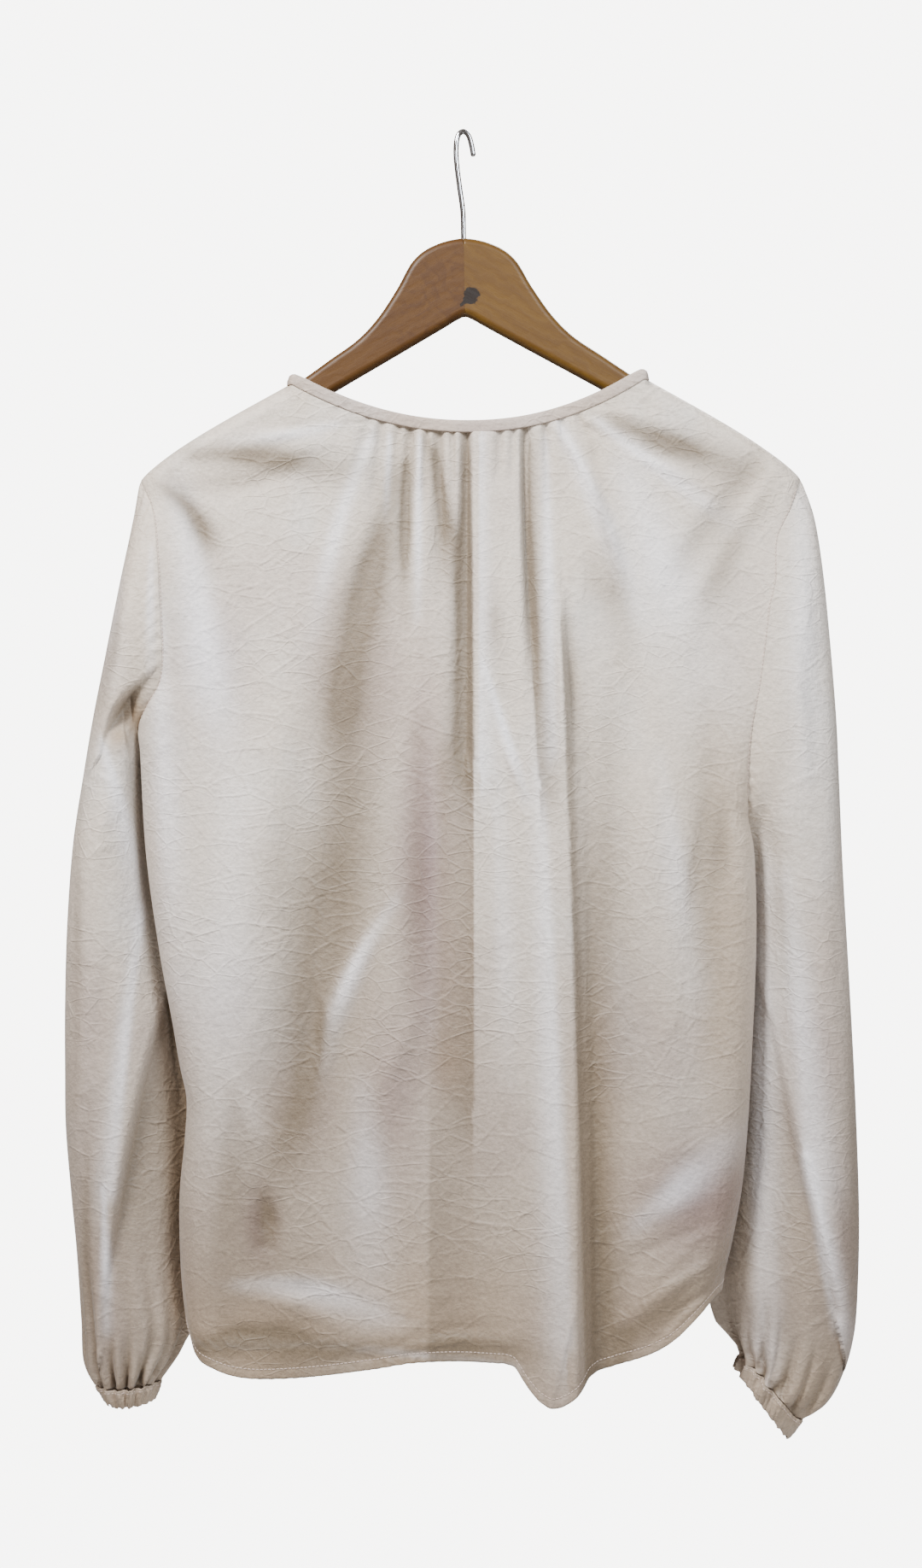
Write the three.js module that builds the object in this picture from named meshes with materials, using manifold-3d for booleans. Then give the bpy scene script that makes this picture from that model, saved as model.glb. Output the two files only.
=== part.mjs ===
// A blouse with gathered back and long full sleeves, hanging on a wooden hanger.
// Millimetres, +Z up. The back of the blouse faces -Y and its front faces +Y.
// The origin is the inside top of the hook, where the hanger is held.

import * as THREE from 'three';
import { mergeVertices } from 'three/addons/utils/BufferGeometryUtils.js';
import Module from 'manifold-3d';

// Cloth
const WALL = 1.2;                 // thickness of a cloth wall
const SEAM_INSET = 0.3;           // each panel lies this far from the middle of its seams
const ARMHOLE_INSET = 1.1;        // and a sleeve stops this far short of the armhole
const LIFT = 0.3;                 // clearance of a strip that lies on a panel
const BINDING_GAP = 0.7;

// Hanger and hook
const HANGER_THICK = 12;
const HANGER_EDGE_RADIUS = 4.5;
const HANGER_CREST_Z = -70.3;     // where the hook enters the wood
const HANGER_TILT = 1.0;          // degrees, its left end hangs lower
const GLUE_GAP = 0.3;
const WIRE_RADIUS = 1.5;
const SHANK_DEPTH = 22;           // how far the hook goes into the wood
const HOLE_RADIUS = 1.8;

// Body of the blouse
const LEFT_TIP = [-215, -232];    // shoulder tips, x and z
const RIGHT_TIP = [224.5, -231];
const LEFT_NECK = [-117, -168.5]; // where the shoulder seams meet the neckline
const RIGHT_NECK = [123, -165];
const LEFT_SEAM_END = [-183, -790];
const RIGHT_SEAM_END = [172, -767];
const SIDE_SEAM_Y = -5;
const ARMHOLE_DEPTH = 22;         // half the depth of an armhole
const LEFT_UNDERARM_Z = -397;
const RIGHT_UNDERARM_Z = -455;
const RIDGE_ROLL = 9;             // drop in which the cloth rounds the shoulder
const BACK_SIDE_ROLL = 24;        // width in which the back rounds to its side seam
const FRONT_SIDE_ROLL = 52;
const NECK_FRACTIONS = [0.2, 0.8]; // share of a panel's columns between the shoulder seams
const GATHER_FRACTIONS = [0.31, 0.70];

const BACK_NECK_Z = -200;         // lowest point of the back neckline
const V_POINT = [-8, -400];       // lowest point of the front neckline
const V_SOFTNESS = 0.2;
const NECK_WRAP = 3.5;            // width in which the neckline crosses the hanger's edge

// Bands
const BINDING_HEIGHT = 7;
const BINDING_THICK = 1.6;
const CUFF_START = 0.11;          // share of a cuff's height left open above it
const FRONT_BAND_WIDTH = 28;
const FRONT_BAND_THICK = 1.2;

// Numbers of strips and rows in the walls
const BACK_COLUMNS = [10, 6, 46, 6, 10]; // shoulder, neck, gathers, neck, shoulder
const BACK_ROWS = 19;
const BAND_COLUMNS = 3;
const FRONT_COLUMNS = [6, 6, BAND_COLUMNS, 6, 6];
const FRONT_ROWS = 16;
const RIDGE_ROWS = 3;
const SLEEVE_SIDES = 40;
const SLEEVE_ROWS = 17;
const CUFF_GATHERS = 10;

const COLOURS = { cloth: 0xe6d8cd, darkWood: 0x9a6f3e, lightWood: 0xb98a52, chrome: 0xc8ccd0 };

function table(columns, rows) {
  return rows.map((row) => Object.fromEntries(columns.map((name, i) => [name, row[i]])));
}

// How far the back and the front lie from the hanger's plane, by height
const FULLNESS = table(['z', 'back', 'front'], [
  [-160, 9.5, 9.5],
  [-235, 12, 13],
  [-330, 20, 17],
  [-450, 27, 23],
  [-600, 34, 28],
  [-740, 38, 31],
  [-840, 40, 32],
]);

// Side outlines: the armhole seam down to the underarm, then the side seam
const LEFT_SIDE = table(['z', 'x'], [
  [-232, -215], [-252, -206], [-282, -202], [-315, -200], [-350, -198.5], [-368, -201],
  [-382, -209], [-397, -216], [-412, -215], [-480, -211], [-545, -202], [-594, -193],
  [-620, -188.5], [-642, -184], [-668, -185], [-706, -188.5], [-748, -188], [-778, -185.5], [-790, -183],
]);
const RIGHT_SIDE = table(['z', 'x'], [
  [-231, 224.5], [-252, 216.5], [-272, 207.5], [-300, 206], [-318, 202], [-342, 199], [-368, 195.5],
  [-395, 190.5], [-424, 188], [-455, 189], [-478, 193], [-537, 194.5], [-622, 191], [-657, 189],
  [-700, 185], [-736, 178.5], [-757, 173.5], [-767, 172],
]);

// The back hem, which dips under the large fold right of the middle
const BACK_HEM = table(['x', 'z'], [
  [-183, -790], [-175, -808], [-163, -815], [-149, -820], [-130, -822], [-104, -821], [-62, -815],
  [-32, -810], [20, -810], [33, -812], [39, -821], [48, -832], [57, -837], [67, -834], [77, -826],
  [82, -820], [98, -814], [121, -805], [137, -795], [154, -779], [164, -770], [172, -767],
]);

// The front hem is plain and a little higher, so the back hides it
const FRONT_HEM = table(['x', 'z'], [
  [-183, -790], [-168, -800], [-140, -804], [-70, -802], [0, -796], [70, -796], [120, -788],
  [150, -773], [172, -767],
]);

// Folds sink a wall (depth above 0) or raise it (below 0). Each runs from a start to an end with a
// bow between, has a width on its -X or lower side and one on the other, and three depths.
const FOLD_COLUMNS = ['x', 'z', 'endX', 'endZ', 'bow', 'width', 'farWidth', 'start', 'middle', 'end'];

const NECK_GATHERS = table(FOLD_COLUMNS, [
  [-64, -194, -74, -235, 0, 5, 6, 1.4, 0.8, 0],
  [-55, -196, -62, -262, 0, 5, 6, 2.2, 1.2, 0],
  [-43, -198, -47, -250, 0, 5, 5, 2.2, 1.0, 0],
  [-34, -198, -52, -420, 0, 7, 6, 3.0, 1.8, 0],
  [-24.5, -199, -26, -262, 0, 5, 5, 2.4, 1.2, 0],
  [-16, -199, -15, -300, 0, 7, 6, 3.0, 1.8, 0],
  [-7.5, -199, -7, -262, 0, 5, 5, 2.2, 1.0, 0],
  [3.5, -199, 0, -406, 0, 8, 5, 3.4, 3.0, 1.2],
  [19, -199, 18, -245, 0, 6, 6, 2.0, 1.0, 0],
  [30, -199, 29, -241, 0, 7, 7, 2.6, 1.6, 0],
  [44, -198, 52, -412, 0, 6, 6, 3.4, 2.2, 0],
  [54, -197, 58, -262, 0, 5, 5, 2.2, 1.2, 0],
  [65, -196, 74, -245, 0, 5, 5, 1.8, 1.0, 0],
  [77, -193, 92, -230, 0, 5, 5, 1.4, 0.7, 0],
]);

const BACK_FOLDS = table(FOLD_COLUMNS, [
  [7.5, -201, 8, -770, 0, 3, 30, -2.0, -3.2, -1.5],
  [64, -310, 72, -838, 2, 44, 7, -1.0, -7.0, -15.0],
  [80, -320, 90, -818, 0, 7, 34, 1.0, 4.0, 8.0],
  [80, -270, 103, -343, 0, 14, 16, 0, 3.0, 0],
  [-42, -300, -140, -757, 0, 40, 46, 0, 6.5, 2.0],
  [-105, -290, -172, -700, 0, 30, 30, 0, -3.5, 0],
  [122, -290, 132, -790, 0, 34, 30, 0, -5.0, -6.0],
  [160, -300, 158, -720, 0, 22, 22, 0, 4.5, 1.0],
  [196, -226, 160, -292, 0, 12, 14, 1.5, 2.5, 0],
  [-197, -230, -160, -290, 0, 12, 12, 1.0, 1.8, 0],
  [-30, -640, -40, -812, 0, 26, 30, 0, -3.0, -4.0],
  [-100, -700, -112, -822, 0, 24, 24, 0, 2.0, 3.0],
]);

const FRONT_FOLDS = table(FOLD_COLUMNS, [
  [-70, -330, -92, -780, 0, 26, 26, 0, 6.0, 8.0],
  [-56, -470, -60, -795, 0, 18, 18, 0, -4.0, -6.0],
  [46, -450, 50, -795, 0, 18, 18, 0, -4.0, -5.0],
  [90, -320, 96, -790, 0, 26, 26, 0, 6.0, 8.0],
  [-140, -420, -150, -780, 0, 20, 20, 0, -4.0, -3.0],
  [136, -440, 138, -770, 0, 20, 20, 0, -4.0, -4.0],
]);

// Sleeves: the outer and the inner edge of each section, from the armhole to the cuff
const SLEEVE_COLUMNS = ['outerX', 'outerZ', 'innerX', 'innerZ', 'innerY', 'depth'];
const LEFT_SLEEVE = table(SLEEVE_COLUMNS, [
  [-215, -232, -216, -397, -5, 22],
  [-221, -262, -218.5, -401, -3, 24],
  [-229.5, -303, -218, -409, 2, 27],
  [-238, -346, -217, -424, 8, 30],
  [-246, -386, -215, -446, 13, 31],
  [-252.5, -424, -212.5, -475, 16, 32],
  [-260, -473, -209.5, -510, 18, 33],
  [-264, -527, -203, -550, 18, 34],
  [-265.5, -580, -194.5, -592, 18, 35],
  [-265.5, -625, -190.5, -628, 18, 36],
  [-265, -662, -188.5, -660, 18, 36],
  [-261.5, -704, -187.5, -704, 18, 38],
  [-257, -749, -187, -752, 18, 38],
  [-253.5, -792, -182, -790, 18, 37],
  [-250.5, -819, -189, -812, 14, 33],
  [-242, -834, -203.5, -832, 6, 25],
]);
const LEFT_CUFF_END = { outerX: -237, outerZ: -846, innerX: -207, innerZ: -845, innerY: 6, depth: 22 };

const RIGHT_SLEEVE = table(SLEEVE_COLUMNS, [
  [224.5, -231, 189, -455, -5, 22],
  [233.5, -255, 192, -458, -3, 25],
  [239, -288, 194, -463, 2, 28],
  [243.5, -331, 195.5, -473, 8, 30],
  [248, -386, 196, -490, 13, 32],
  [250, -428, 195.5, -515, 16, 33],
  [252.5, -488, 194.5, -545, 18, 34],
  [256, -549, 193, -584, 18, 35],
  [259.5, -612, 190.5, -629, 18, 36],
  [262, -668, 188, -674, 18, 37],
  [263.5, -719, 180, -725, 18, 38],
  [263, -764, 172.5, -765, 18, 38],
  [260.5, -800, 175, -786, 16, 36],
  [252.5, -829, 180, -801, 12, 33],
  [241, -848, 185, -810, 8, 30],
  [225, -858, 188, -816, 6, 27],
]);
const RIGHT_CUFF_END = { outerX: 216, outerZ: -869.5, innerX: 182, innerZ: -825, innerY: 6, depth: 24 };

const LEFT_SLEEVE_FOLDS = table(FOLD_COLUMNS, [
  [-202, -366, -247, -412, 0, 20, 6, 2.0, 8.0, 3.0],
  [-223, -425, -204, -575, -3, 3, 22, 4.0, 6.0, 6.0],
  [-200, -580, -237, -800, -4, 5, 60, 6.0, 12.0, 4.0],
  [-237, -668, -240, -774, 0, 6, 5, 0, 3.0, 1.0],
]);
const RIGHT_SLEEVE_FOLDS = table(FOLD_COLUMNS, [
  [203, -560, 245, -775, -3, 60, 5, 2.0, 10.0, 7.0],
  [228, -300, 234, -520, 0, 14, 14, 0, 3.0, 0],
  [190, -440, 214, -500, 0, 10, 10, 2.0, 3.0, 0],
]);
const SLEEVE_FRONT_FOLDS = table(FOLD_COLUMNS, [
  [0, -330, 0, -560, 0, 14, 14, 0, 4.0, 0],
  [8, -520, 2, -780, 0, 16, 16, 0, 5.0, 3.0],
]);

const { sin, cos, PI, hypot, exp, min, max, sqrt, abs } = Math;
const mix = (a, b, t) => a + (b - a) * t;
const clamp01 = (t) => min(1, max(0, t));

// Value of one column at a place along another, by a smooth curve through the rows
function lookUp(rows, along, value, at) {
  const falling = rows[rows.length - 1][along] < rows[0][along];
  let i = 0;
  while (i < rows.length - 2 && (falling ? rows[i + 1][along] > at : rows[i + 1][along] < at)) i += 1;
  const t = clamp01((at - rows[i][along]) / (rows[i + 1][along] - rows[i][along]));
  const slope = (k) => {
    const before = rows[max(k - 1, 0)];
    const after = rows[min(k + 1, rows.length - 1)];
    return (after[value] - before[value]) / (after[along] - before[along]);
  };
  const span = rows[i + 1][along] - rows[i][along];
  return hermite(rows[i][value], rows[i + 1][value], slope(i) * span, slope(i + 1) * span, t);
}

function hermite(a, b, slopeA, slopeB, t) {
  const t2 = t * t;
  const t3 = t2 * t;
  return a * (2 * t3 - 3 * t2 + 1) + b * (3 * t2 - 2 * t3) + slopeA * (t3 - 2 * t2 + t) + slopeB * (t3 - t2);
}

// Sum of the folds' depths at a place on a wall
function foldDepth(folds, x, z, shiftX = 0) {
  let depth = 0;
  for (const fold of folds) {
    const alongX = fold.endX - fold.x;
    const alongZ = fold.endZ - fold.z;
    const length = hypot(alongX, alongZ);
    const dx = x - shiftX - fold.x;
    const dz = z - fold.z;
    const along = (dx * alongX + dz * alongZ) / length;
    const q = clamp01(along / length);
    const beyond = along - q * length;
    const across = (-dx * alongZ + dz * alongX) / length - fold.bow * 4 * q * (1 - q);
    const width = (across < 0 ? fold.width : fold.farWidth) * (0.5 + 0.5 * q);
    const amount = q < 0.5
      ? mix(fold.start, fold.middle, sin(PI * q) ** 2)
      : mix(fold.end, fold.middle, sin(PI * q) ** 2);
    depth += amount * exp(-((across / width) ** 2) - (beyond / (2 * width)) ** 2);
  }
  return depth;
}

// A panel between the two side outlines, its top edge and its hem. Fractions run from the left side
// to the right and from the top to the hem. The result is a point of the wall's middle surface.
function panelPoint(panel, across, down) {
  const [across01, sideTurn] = rollIn(across, panel.sideRoll);
  const topTurn = down < panel.ridgeShare ? sin((PI / 2) * down / panel.ridgeShare) : 1;
  const drop = down < panel.ridgeShare
    ? panel.ridgeDrop * (1 - cos((PI / 2) * down / panel.ridgeShare))
    : mix(panel.ridgeDrop, 1, (down - panel.ridgeShare) / (1 - panel.ridgeShare));
  const top = panel.topEdge(across01);
  const hem = panel.hemEdge(across01);
  const leftZ = mix(LEFT_TIP[1], LEFT_SEAM_END[1], drop);
  const rightZ = mix(RIGHT_TIP[1], RIGHT_SEAM_END[1], drop);
  const leftBulge = lookUp(LEFT_SIDE, 'z', 'x', leftZ) - mix(LEFT_TIP[0], LEFT_SEAM_END[0], drop);
  const rightBulge = lookUp(RIGHT_SIDE, 'z', 'x', rightZ) - mix(RIGHT_TIP[0], RIGHT_SEAM_END[0], drop);
  const x = mix(top.x, hem.x, drop) + mix(leftBulge, rightBulge, across01);
  const z = mix(top.z, hem.z, drop);
  const folds = panel.folds(x, z) * topTurn ** 0.6 * sideTurn;
  const plane = panel.side * lookUp(FULLNESS, 'z', panel.fullness, z);
  const sideY = across < 0.5 ? sideEdgeY(panel, leftZ, LEFT_TIP[1], LEFT_UNDERARM_Z)
    : sideEdgeY(panel, rightZ, RIGHT_TIP[1], RIGHT_UNDERARM_Z);
  const y = mix(sideY, mix(top.y, plane, topTurn), sideTurn) + panel.side * (SEAM_INSET - folds);
  return new THREE.Vector3(x, y, z);
}

// Near its side a panel turns over a quarter of an ellipse
function rollIn(across, roll) {
  const share = roll * 1.5;
  const inner = (1 - 2 * roll) / (1 - 2 * share);
  if (across < share) return [roll * (1 - cos((PI / 2) * across / share)), sin((PI / 2) * across / share)];
  if (across > 1 - share) {
    const [place, turn] = rollIn(1 - across, roll);
    return [1 - place, turn];
  }
  return [roll + (across - share) * inner, 1];
}

function sideEdgeY(panel, z, tipZ, underarmZ) {
  const place = clamp01((z - tipZ) / (underarmZ - tipZ));
  return panel.side * ARMHOLE_DEPTH * sin(PI * place) ** 0.6 + SIDE_SEAM_Y * place ** 3;
}

// The top edge: left shoulder seam, neckline, right shoulder seam
function topEdge(side, neckline) {
  return (across) => {
    const [from, to] = NECK_FRACTIONS;
    if (across <= from) {
      const t = across / from;
      return { x: mix(LEFT_TIP[0], LEFT_NECK[0], t), y: 0, z: shoulderZ(LEFT_TIP, LEFT_NECK, t) };
    }
    if (across >= to) {
      const t = (1 - across) / (1 - to);
      return { x: mix(RIGHT_TIP[0], RIGHT_NECK[0], t), y: 0, z: shoulderZ(RIGHT_TIP, RIGHT_NECK, t) };
    }
    return neckPoint(side, neckline, (across - from) / (to - from));
  };
}

function shoulderZ(tip, neck, t) {
  return mix(tip[1], neck[1], t) + 5 * sin(PI * t ** 0.6);
}

function neckPoint(side, neckline, t) {
  const x = mix(LEFT_NECK[0], RIGHT_NECK[0], t);
  const wrapShare = NECK_WRAP / (RIGHT_NECK[0] - LEFT_NECK[0]);
  const overWood = clamp01(min(t, 1 - t) / wrapShare);
  const z = neckline(clamp01((t - wrapShare) / (1 - 2 * wrapShare)));
  const fullness = lookUp(FULLNESS, 'z', side < 0 ? 'back' : 'front', z);
  return { x, y: side * fullness * sqrt(1 - (1 - overWood) ** 2), z };
}

function backNeckline(t) {
  const side = 2 * t - 1;
  const corner = mix(LEFT_NECK[1], RIGHT_NECK[1], t);
  return mix(BACK_NECK_Z, corner, abs(side) ** 2.1);
}

function frontNeckline(t) {
  const middle = (V_POINT[0] - LEFT_NECK[0]) / (RIGHT_NECK[0] - LEFT_NECK[0]);
  const side = t < middle ? (t - middle) / middle : (t - middle) / (1 - middle);
  const corner = mix(LEFT_NECK[1], RIGHT_NECK[1], t);
  const rise = (sqrt(side * side + V_SOFTNESS ** 2) - V_SOFTNESS) / (sqrt(1 + V_SOFTNESS ** 2) - V_SOFTNESS);
  return mix(V_POINT[1], corner, rise);
}

function hemEdge(hem, across) {
  const x = mix(LEFT_SEAM_END[0], RIGHT_SEAM_END[0], across);
  return { x, z: lookUp(hem, 'x', 'z', x) };
}

const BODY_HEIGHT = LEFT_TIP[1] - LEFT_SEAM_END[1];
const BODY_WIDTH = RIGHT_SEAM_END[0] - LEFT_SEAM_END[0];
const RIDGE_DROP = RIDGE_ROLL / BODY_HEIGHT;

const BACK = {
  side: -1,
  fullness: 'back',
  sideRoll: BACK_SIDE_ROLL / BODY_WIDTH,
  ridgeDrop: RIDGE_DROP,
  ridgeShare: 1.5 * RIDGE_DROP,
  topEdge: topEdge(-1, backNeckline),
  hemEdge: (across) => hemEdge(BACK_HEM, across),
  folds: (x, z) => foldDepth(NECK_GATHERS, x, z) + foldDepth(BACK_FOLDS, x, z),
};
const FRONT = {
  side: 1,
  fullness: 'front',
  sideRoll: FRONT_SIDE_ROLL / BODY_WIDTH,
  ridgeDrop: RIDGE_DROP,
  ridgeShare: 1.5 * RIDGE_DROP,
  topEdge: topEdge(1, frontNeckline),
  hemEdge: (across) => hemEdge(FRONT_HEM, across),
  folds: (x, z) => foldDepth(FRONT_FOLDS, x, z),
};

// A closed wall of even thickness about a grid of points, open at its edges or joined round
function wall(grid, thickness, joined = false) {
  const rows = grid.length;
  const columns = grid[0].length;
  const outer = [];
  const inner = [];
  for (let j = 0; j < rows; j += 1) {
    for (let i = 0; i < columns; i += 1) {
      const before = joined ? grid[j][(i + columns - 1) % columns] : grid[j][max(i - 1, 0)];
      const after = joined ? grid[j][(i + 1) % columns] : grid[j][min(i + 1, columns - 1)];
      const above = grid[max(j - 1, 0)][i];
      const below = grid[min(j + 1, rows - 1)][i];
      const across = new THREE.Vector3().subVectors(after, before);
      const down = new THREE.Vector3().subVectors(below, above);
      const normal = across.cross(down).normalize().multiplyScalar(-thickness / 2);
      outer.push(new THREE.Vector3().addVectors(grid[j][i], normal));
      inner.push(new THREE.Vector3().subVectors(grid[j][i], normal));
    }
  }
  const points = [...outer, ...inner];
  const faces = [];
  const at = (i, j, layer) => layer * rows * columns + j * columns + (i % columns);
  const quad = (a, b, c, d) => faces.push(a, b, c, a, c, d);
  const steps = joined ? columns : columns - 1;
  for (let j = 0; j < rows - 1; j += 1) {
    for (let i = 0; i < steps; i += 1) {
      quad(at(i, j, 0), at(i, j + 1, 0), at(i + 1, j + 1, 0), at(i + 1, j, 0));
      quad(at(i, j, 1), at(i + 1, j, 1), at(i + 1, j + 1, 1), at(i, j + 1, 1));
    }
    if (!joined) {
      quad(at(0, j, 1), at(0, j + 1, 1), at(0, j + 1, 0), at(0, j, 0));
      quad(at(steps, j, 0), at(steps, j + 1, 0), at(steps, j + 1, 1), at(steps, j, 1));
    }
  }
  for (let i = 0; i < steps; i += 1) {
    quad(at(i, 0, 1), at(i, 0, 0), at(i + 1, 0, 0), at(i + 1, 0, 1));
    quad(at(i, rows - 1, 0), at(i, rows - 1, 1), at(i + 1, rows - 1, 1), at(i + 1, rows - 1, 0));
  }
  return outwardGeometry(points, faces);
}

// Turns every face over when the body would otherwise be inside out
function outwardGeometry(points, faces) {
  let volume = 0;
  for (let k = 0; k < faces.length; k += 3) {
    const [a, b, c] = [points[faces[k]], points[faces[k + 1]], points[faces[k + 2]]];
    volume += a.dot(new THREE.Vector3().crossVectors(b, c));
  }
  const order = volume < 0 ? [0, 2, 1] : [0, 1, 2];
  const index = faces.map((_, k) => faces[k - (k % 3) + order[k % 3]]);
  const geometry = new THREE.BufferGeometry();
  geometry.setAttribute('position', new THREE.Float32BufferAttribute(points.flatMap((p) => p.toArray()), 3));
  geometry.setIndex(index);
  geometry.computeVertexNormals();
  return geometry;
}

const spread = (count, from, to) => Array.from({ length: count + 1 }, (_, k) => mix(from, to, k / count));

// Column at a share of the width, clear of the sides where a panel turns
function columnAt(panel, place) {
  const share = panel.sideRoll * 1.5;
  return share + (place - panel.sideRoll) * (1 - 2 * share) / (1 - 2 * panel.sideRoll);
}

// Runs of even columns: from the left side through the places given, with a count for each run
function columnRuns(panel, places, counts) {
  const stops = [0, ...places.map((place) => columnAt(panel, place)), 1];
  return [0, ...counts.flatMap((count, k) => spread(count, stops[k], stops[k + 1]).slice(1))];
}

function panelRows(rows, panel) {
  const ridge = spread(RIDGE_ROWS, 0, panel.ridgeShare);
  const body = spread(rows - RIDGE_ROWS, 0, 1).slice(1).map((t) => mix(panel.ridgeShare, 1, t ** 1.3));
  return [...ridge, ...body];
}

const [NECK_FROM, NECK_TO] = NECK_FRACTIONS;
const WRAP_MIDDLE = 1.5 / (RIGHT_NECK[0] - LEFT_NECK[0]) * (NECK_TO - NECK_FROM);
const V_PLACE = mix(NECK_FROM, NECK_TO, (V_POINT[0] - LEFT_NECK[0]) / (RIGHT_NECK[0] - LEFT_NECK[0]));
const BAND_REACH = FRONT_BAND_WIDTH / 2 / BODY_WIDTH;
const bandPlaces = [V_PLACE - BAND_REACH, V_PLACE + BAND_REACH];

const neckRuns = (panel, middlePlaces, counts) => columnRuns(
  panel,
  [NECK_FROM, NECK_FROM + WRAP_MIDDLE, ...middlePlaces, NECK_TO - WRAP_MIDDLE, NECK_TO],
  [counts[0], 1, ...counts.slice(1, -1), 1, counts[counts.length - 1]],
);
const backColumns = neckRuns(BACK, GATHER_FRACTIONS, BACK_COLUMNS);
const frontColumns = neckRuns(FRONT, bandPlaces, FRONT_COLUMNS);
const bandColumns = columnRuns(FRONT, bandPlaces, [0, BAND_COLUMNS, 0]).slice(1);
const backRows = panelRows(BACK_ROWS, BACK);
const frontRows = panelRows(FRONT_ROWS, FRONT);

const panelGrid = (panel, columns, rows) => (
  rows.map((down) => columns.map((across) => panelPoint(panel, across, down))));

const backGeometry = () => wall(panelGrid(BACK, backColumns, backRows), WALL);
const frontGeometry = () => wall(panelGrid(FRONT, frontColumns, frontRows), WALL);

// Point of a sleeve: sections along it, and an angle from its outer edge round by the back
function sleevePoint(sleeve, along, angle) {
  const place = along * (sleeve.sections.length - 1);
  const k = min(Math.floor(place), sleeve.sections.length - 2);
  const value = (name) => {
    const rows = sleeve.sections;
    const before = rows[max(k - 1, 0)][name];
    const after = rows[min(k + 2, rows.length - 1)][name];
    const [a, b] = [rows[k][name], rows[k + 1][name]];
    return hermite(a, b, (b - before) / 2, (after - a) / 2, place - k);
  };
  const toOuter = (1 + cos(angle)) / 2;
  const point = new THREE.Vector3(
    mix(value('innerX'), value('outerX'), toOuter),
    value('innerY') * (1 - toOuter) - value('depth') * sin(angle),
    mix(value('innerZ'), value('outerZ'), toOuter),
  );
  addArmhole(sleeve, along, angle, point);
  const folded = sin(angle) > 0
    ? foldDepth(sleeve.backFolds, point.x, point.z) * sin(angle) ** 0.5
    : -foldDepth(SLEEVE_FRONT_FOLDS, point.x, point.z, sleeve.middleX) * abs(sin(angle)) ** 0.5;
  const settled = clamp01(along * 8);
  const gathered = 1.6 * clamp01((along - 0.82) / 0.18) ** 1.5 * cos(CUFF_GATHERS * angle);
  point.y += folded * settled + gathered * sin(angle);
  point.x -= gathered * cos(angle) * sleeve.outward;
  return point;
}

// Close to the body a sleeve takes the shape of the armhole
function addArmhole(sleeve, along, angle, point) {
  const fade = (1 - clamp01(along / 0.14)) ** 2;
  if (fade === 0) return;
  const place = (1 - cos(angle)) / 2;
  const panel = sin(angle) >= 0 ? BACK : FRONT;
  const z = mix(sleeve.tipZ, sleeve.underarmZ, place);
  const edge = panelEdge(panel, sleeve.outward, z);
  const first = sleeve.sections[0];
  point.x += fade * (edge.x - mix(first.outerX, first.innerX, place));
  point.y += fade * (edge.y - first.innerY * place + first.depth * sin(angle));
  point.z += fade * (z - mix(first.outerZ, first.innerZ, place));
}

// Place on a panel's side edge, along the straight stretches between its rows
function panelEdge(panel, outward, z) {
  const rows = panel === BACK ? backRows : frontRows;
  const edge = rows.map((down) => panelPoint(panel, outward < 0 ? 0 : 1, down));
  let k = 0;
  while (k < edge.length - 2 && edge[k + 1].z > z) k += 1;
  const t = clamp01((edge[k].z - z) / (edge[k].z - edge[k + 1].z));
  return new THREE.Vector3().lerpVectors(edge[k], edge[k + 1], t);
}

const LEFT_ARM = {
  sections: LEFT_SLEEVE, cuffEnd: LEFT_CUFF_END, backFolds: LEFT_SLEEVE_FOLDS,
  tipZ: LEFT_TIP[1], underarmZ: LEFT_UNDERARM_Z, outward: -1, middleX: -228,
};
const RIGHT_ARM = {
  sections: RIGHT_SLEEVE, cuffEnd: RIGHT_CUFF_END, backFolds: RIGHT_SLEEVE_FOLDS,
  tipZ: RIGHT_TIP[1], underarmZ: RIGHT_UNDERARM_Z, outward: 1, middleX: 226,
};

const ringAngles = spread(SLEEVE_SIDES, 0, 2 * PI).slice(0, -1);

function sleeveGeometry(sleeve) {
  const rows = spread(SLEEVE_ROWS, 0, 1).map((t) => sleeveRing(sleeve, t));
  rows[0].forEach((point, i) => {
    point.x += sleeve.outward * ARMHOLE_INSET;
    point.z += ARMHOLE_INSET * (1 - cos(ringAngles[i])) / 2;
  });
  return wall(rows, WALL, true);
}

const sleeveRing = (sleeve, along) => ringAngles.map((angle) => sleevePoint(sleeve, along, angle));

// The cuff goes on from the sleeve's last ring to a smaller plain ring
function cuffGeometry(sleeve) {
  const last = sleeve.sections[sleeve.sections.length - 1];
  const rows = [0, 1].map((t) => ringAngles.map((angle) => cuffPoint(last, sleeve.cuffEnd, t, angle)));
  return wall(rows, WALL, true);
}

function cuffPoint(start, end, t, angle) {
  const along = mix(CUFF_START, 1, t);
  const section = (name) => mix(start[name], end[name], along);
  const toOuter = (1 + cos(angle)) / 2;
  return new THREE.Vector3(
    mix(section('innerX'), section('outerX'), toOuter),
    section('innerY') * (1 - toOuter) - section('depth') * sin(angle),
    mix(section('innerZ'), section('outerZ'), toOuter),
  );
}

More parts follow.
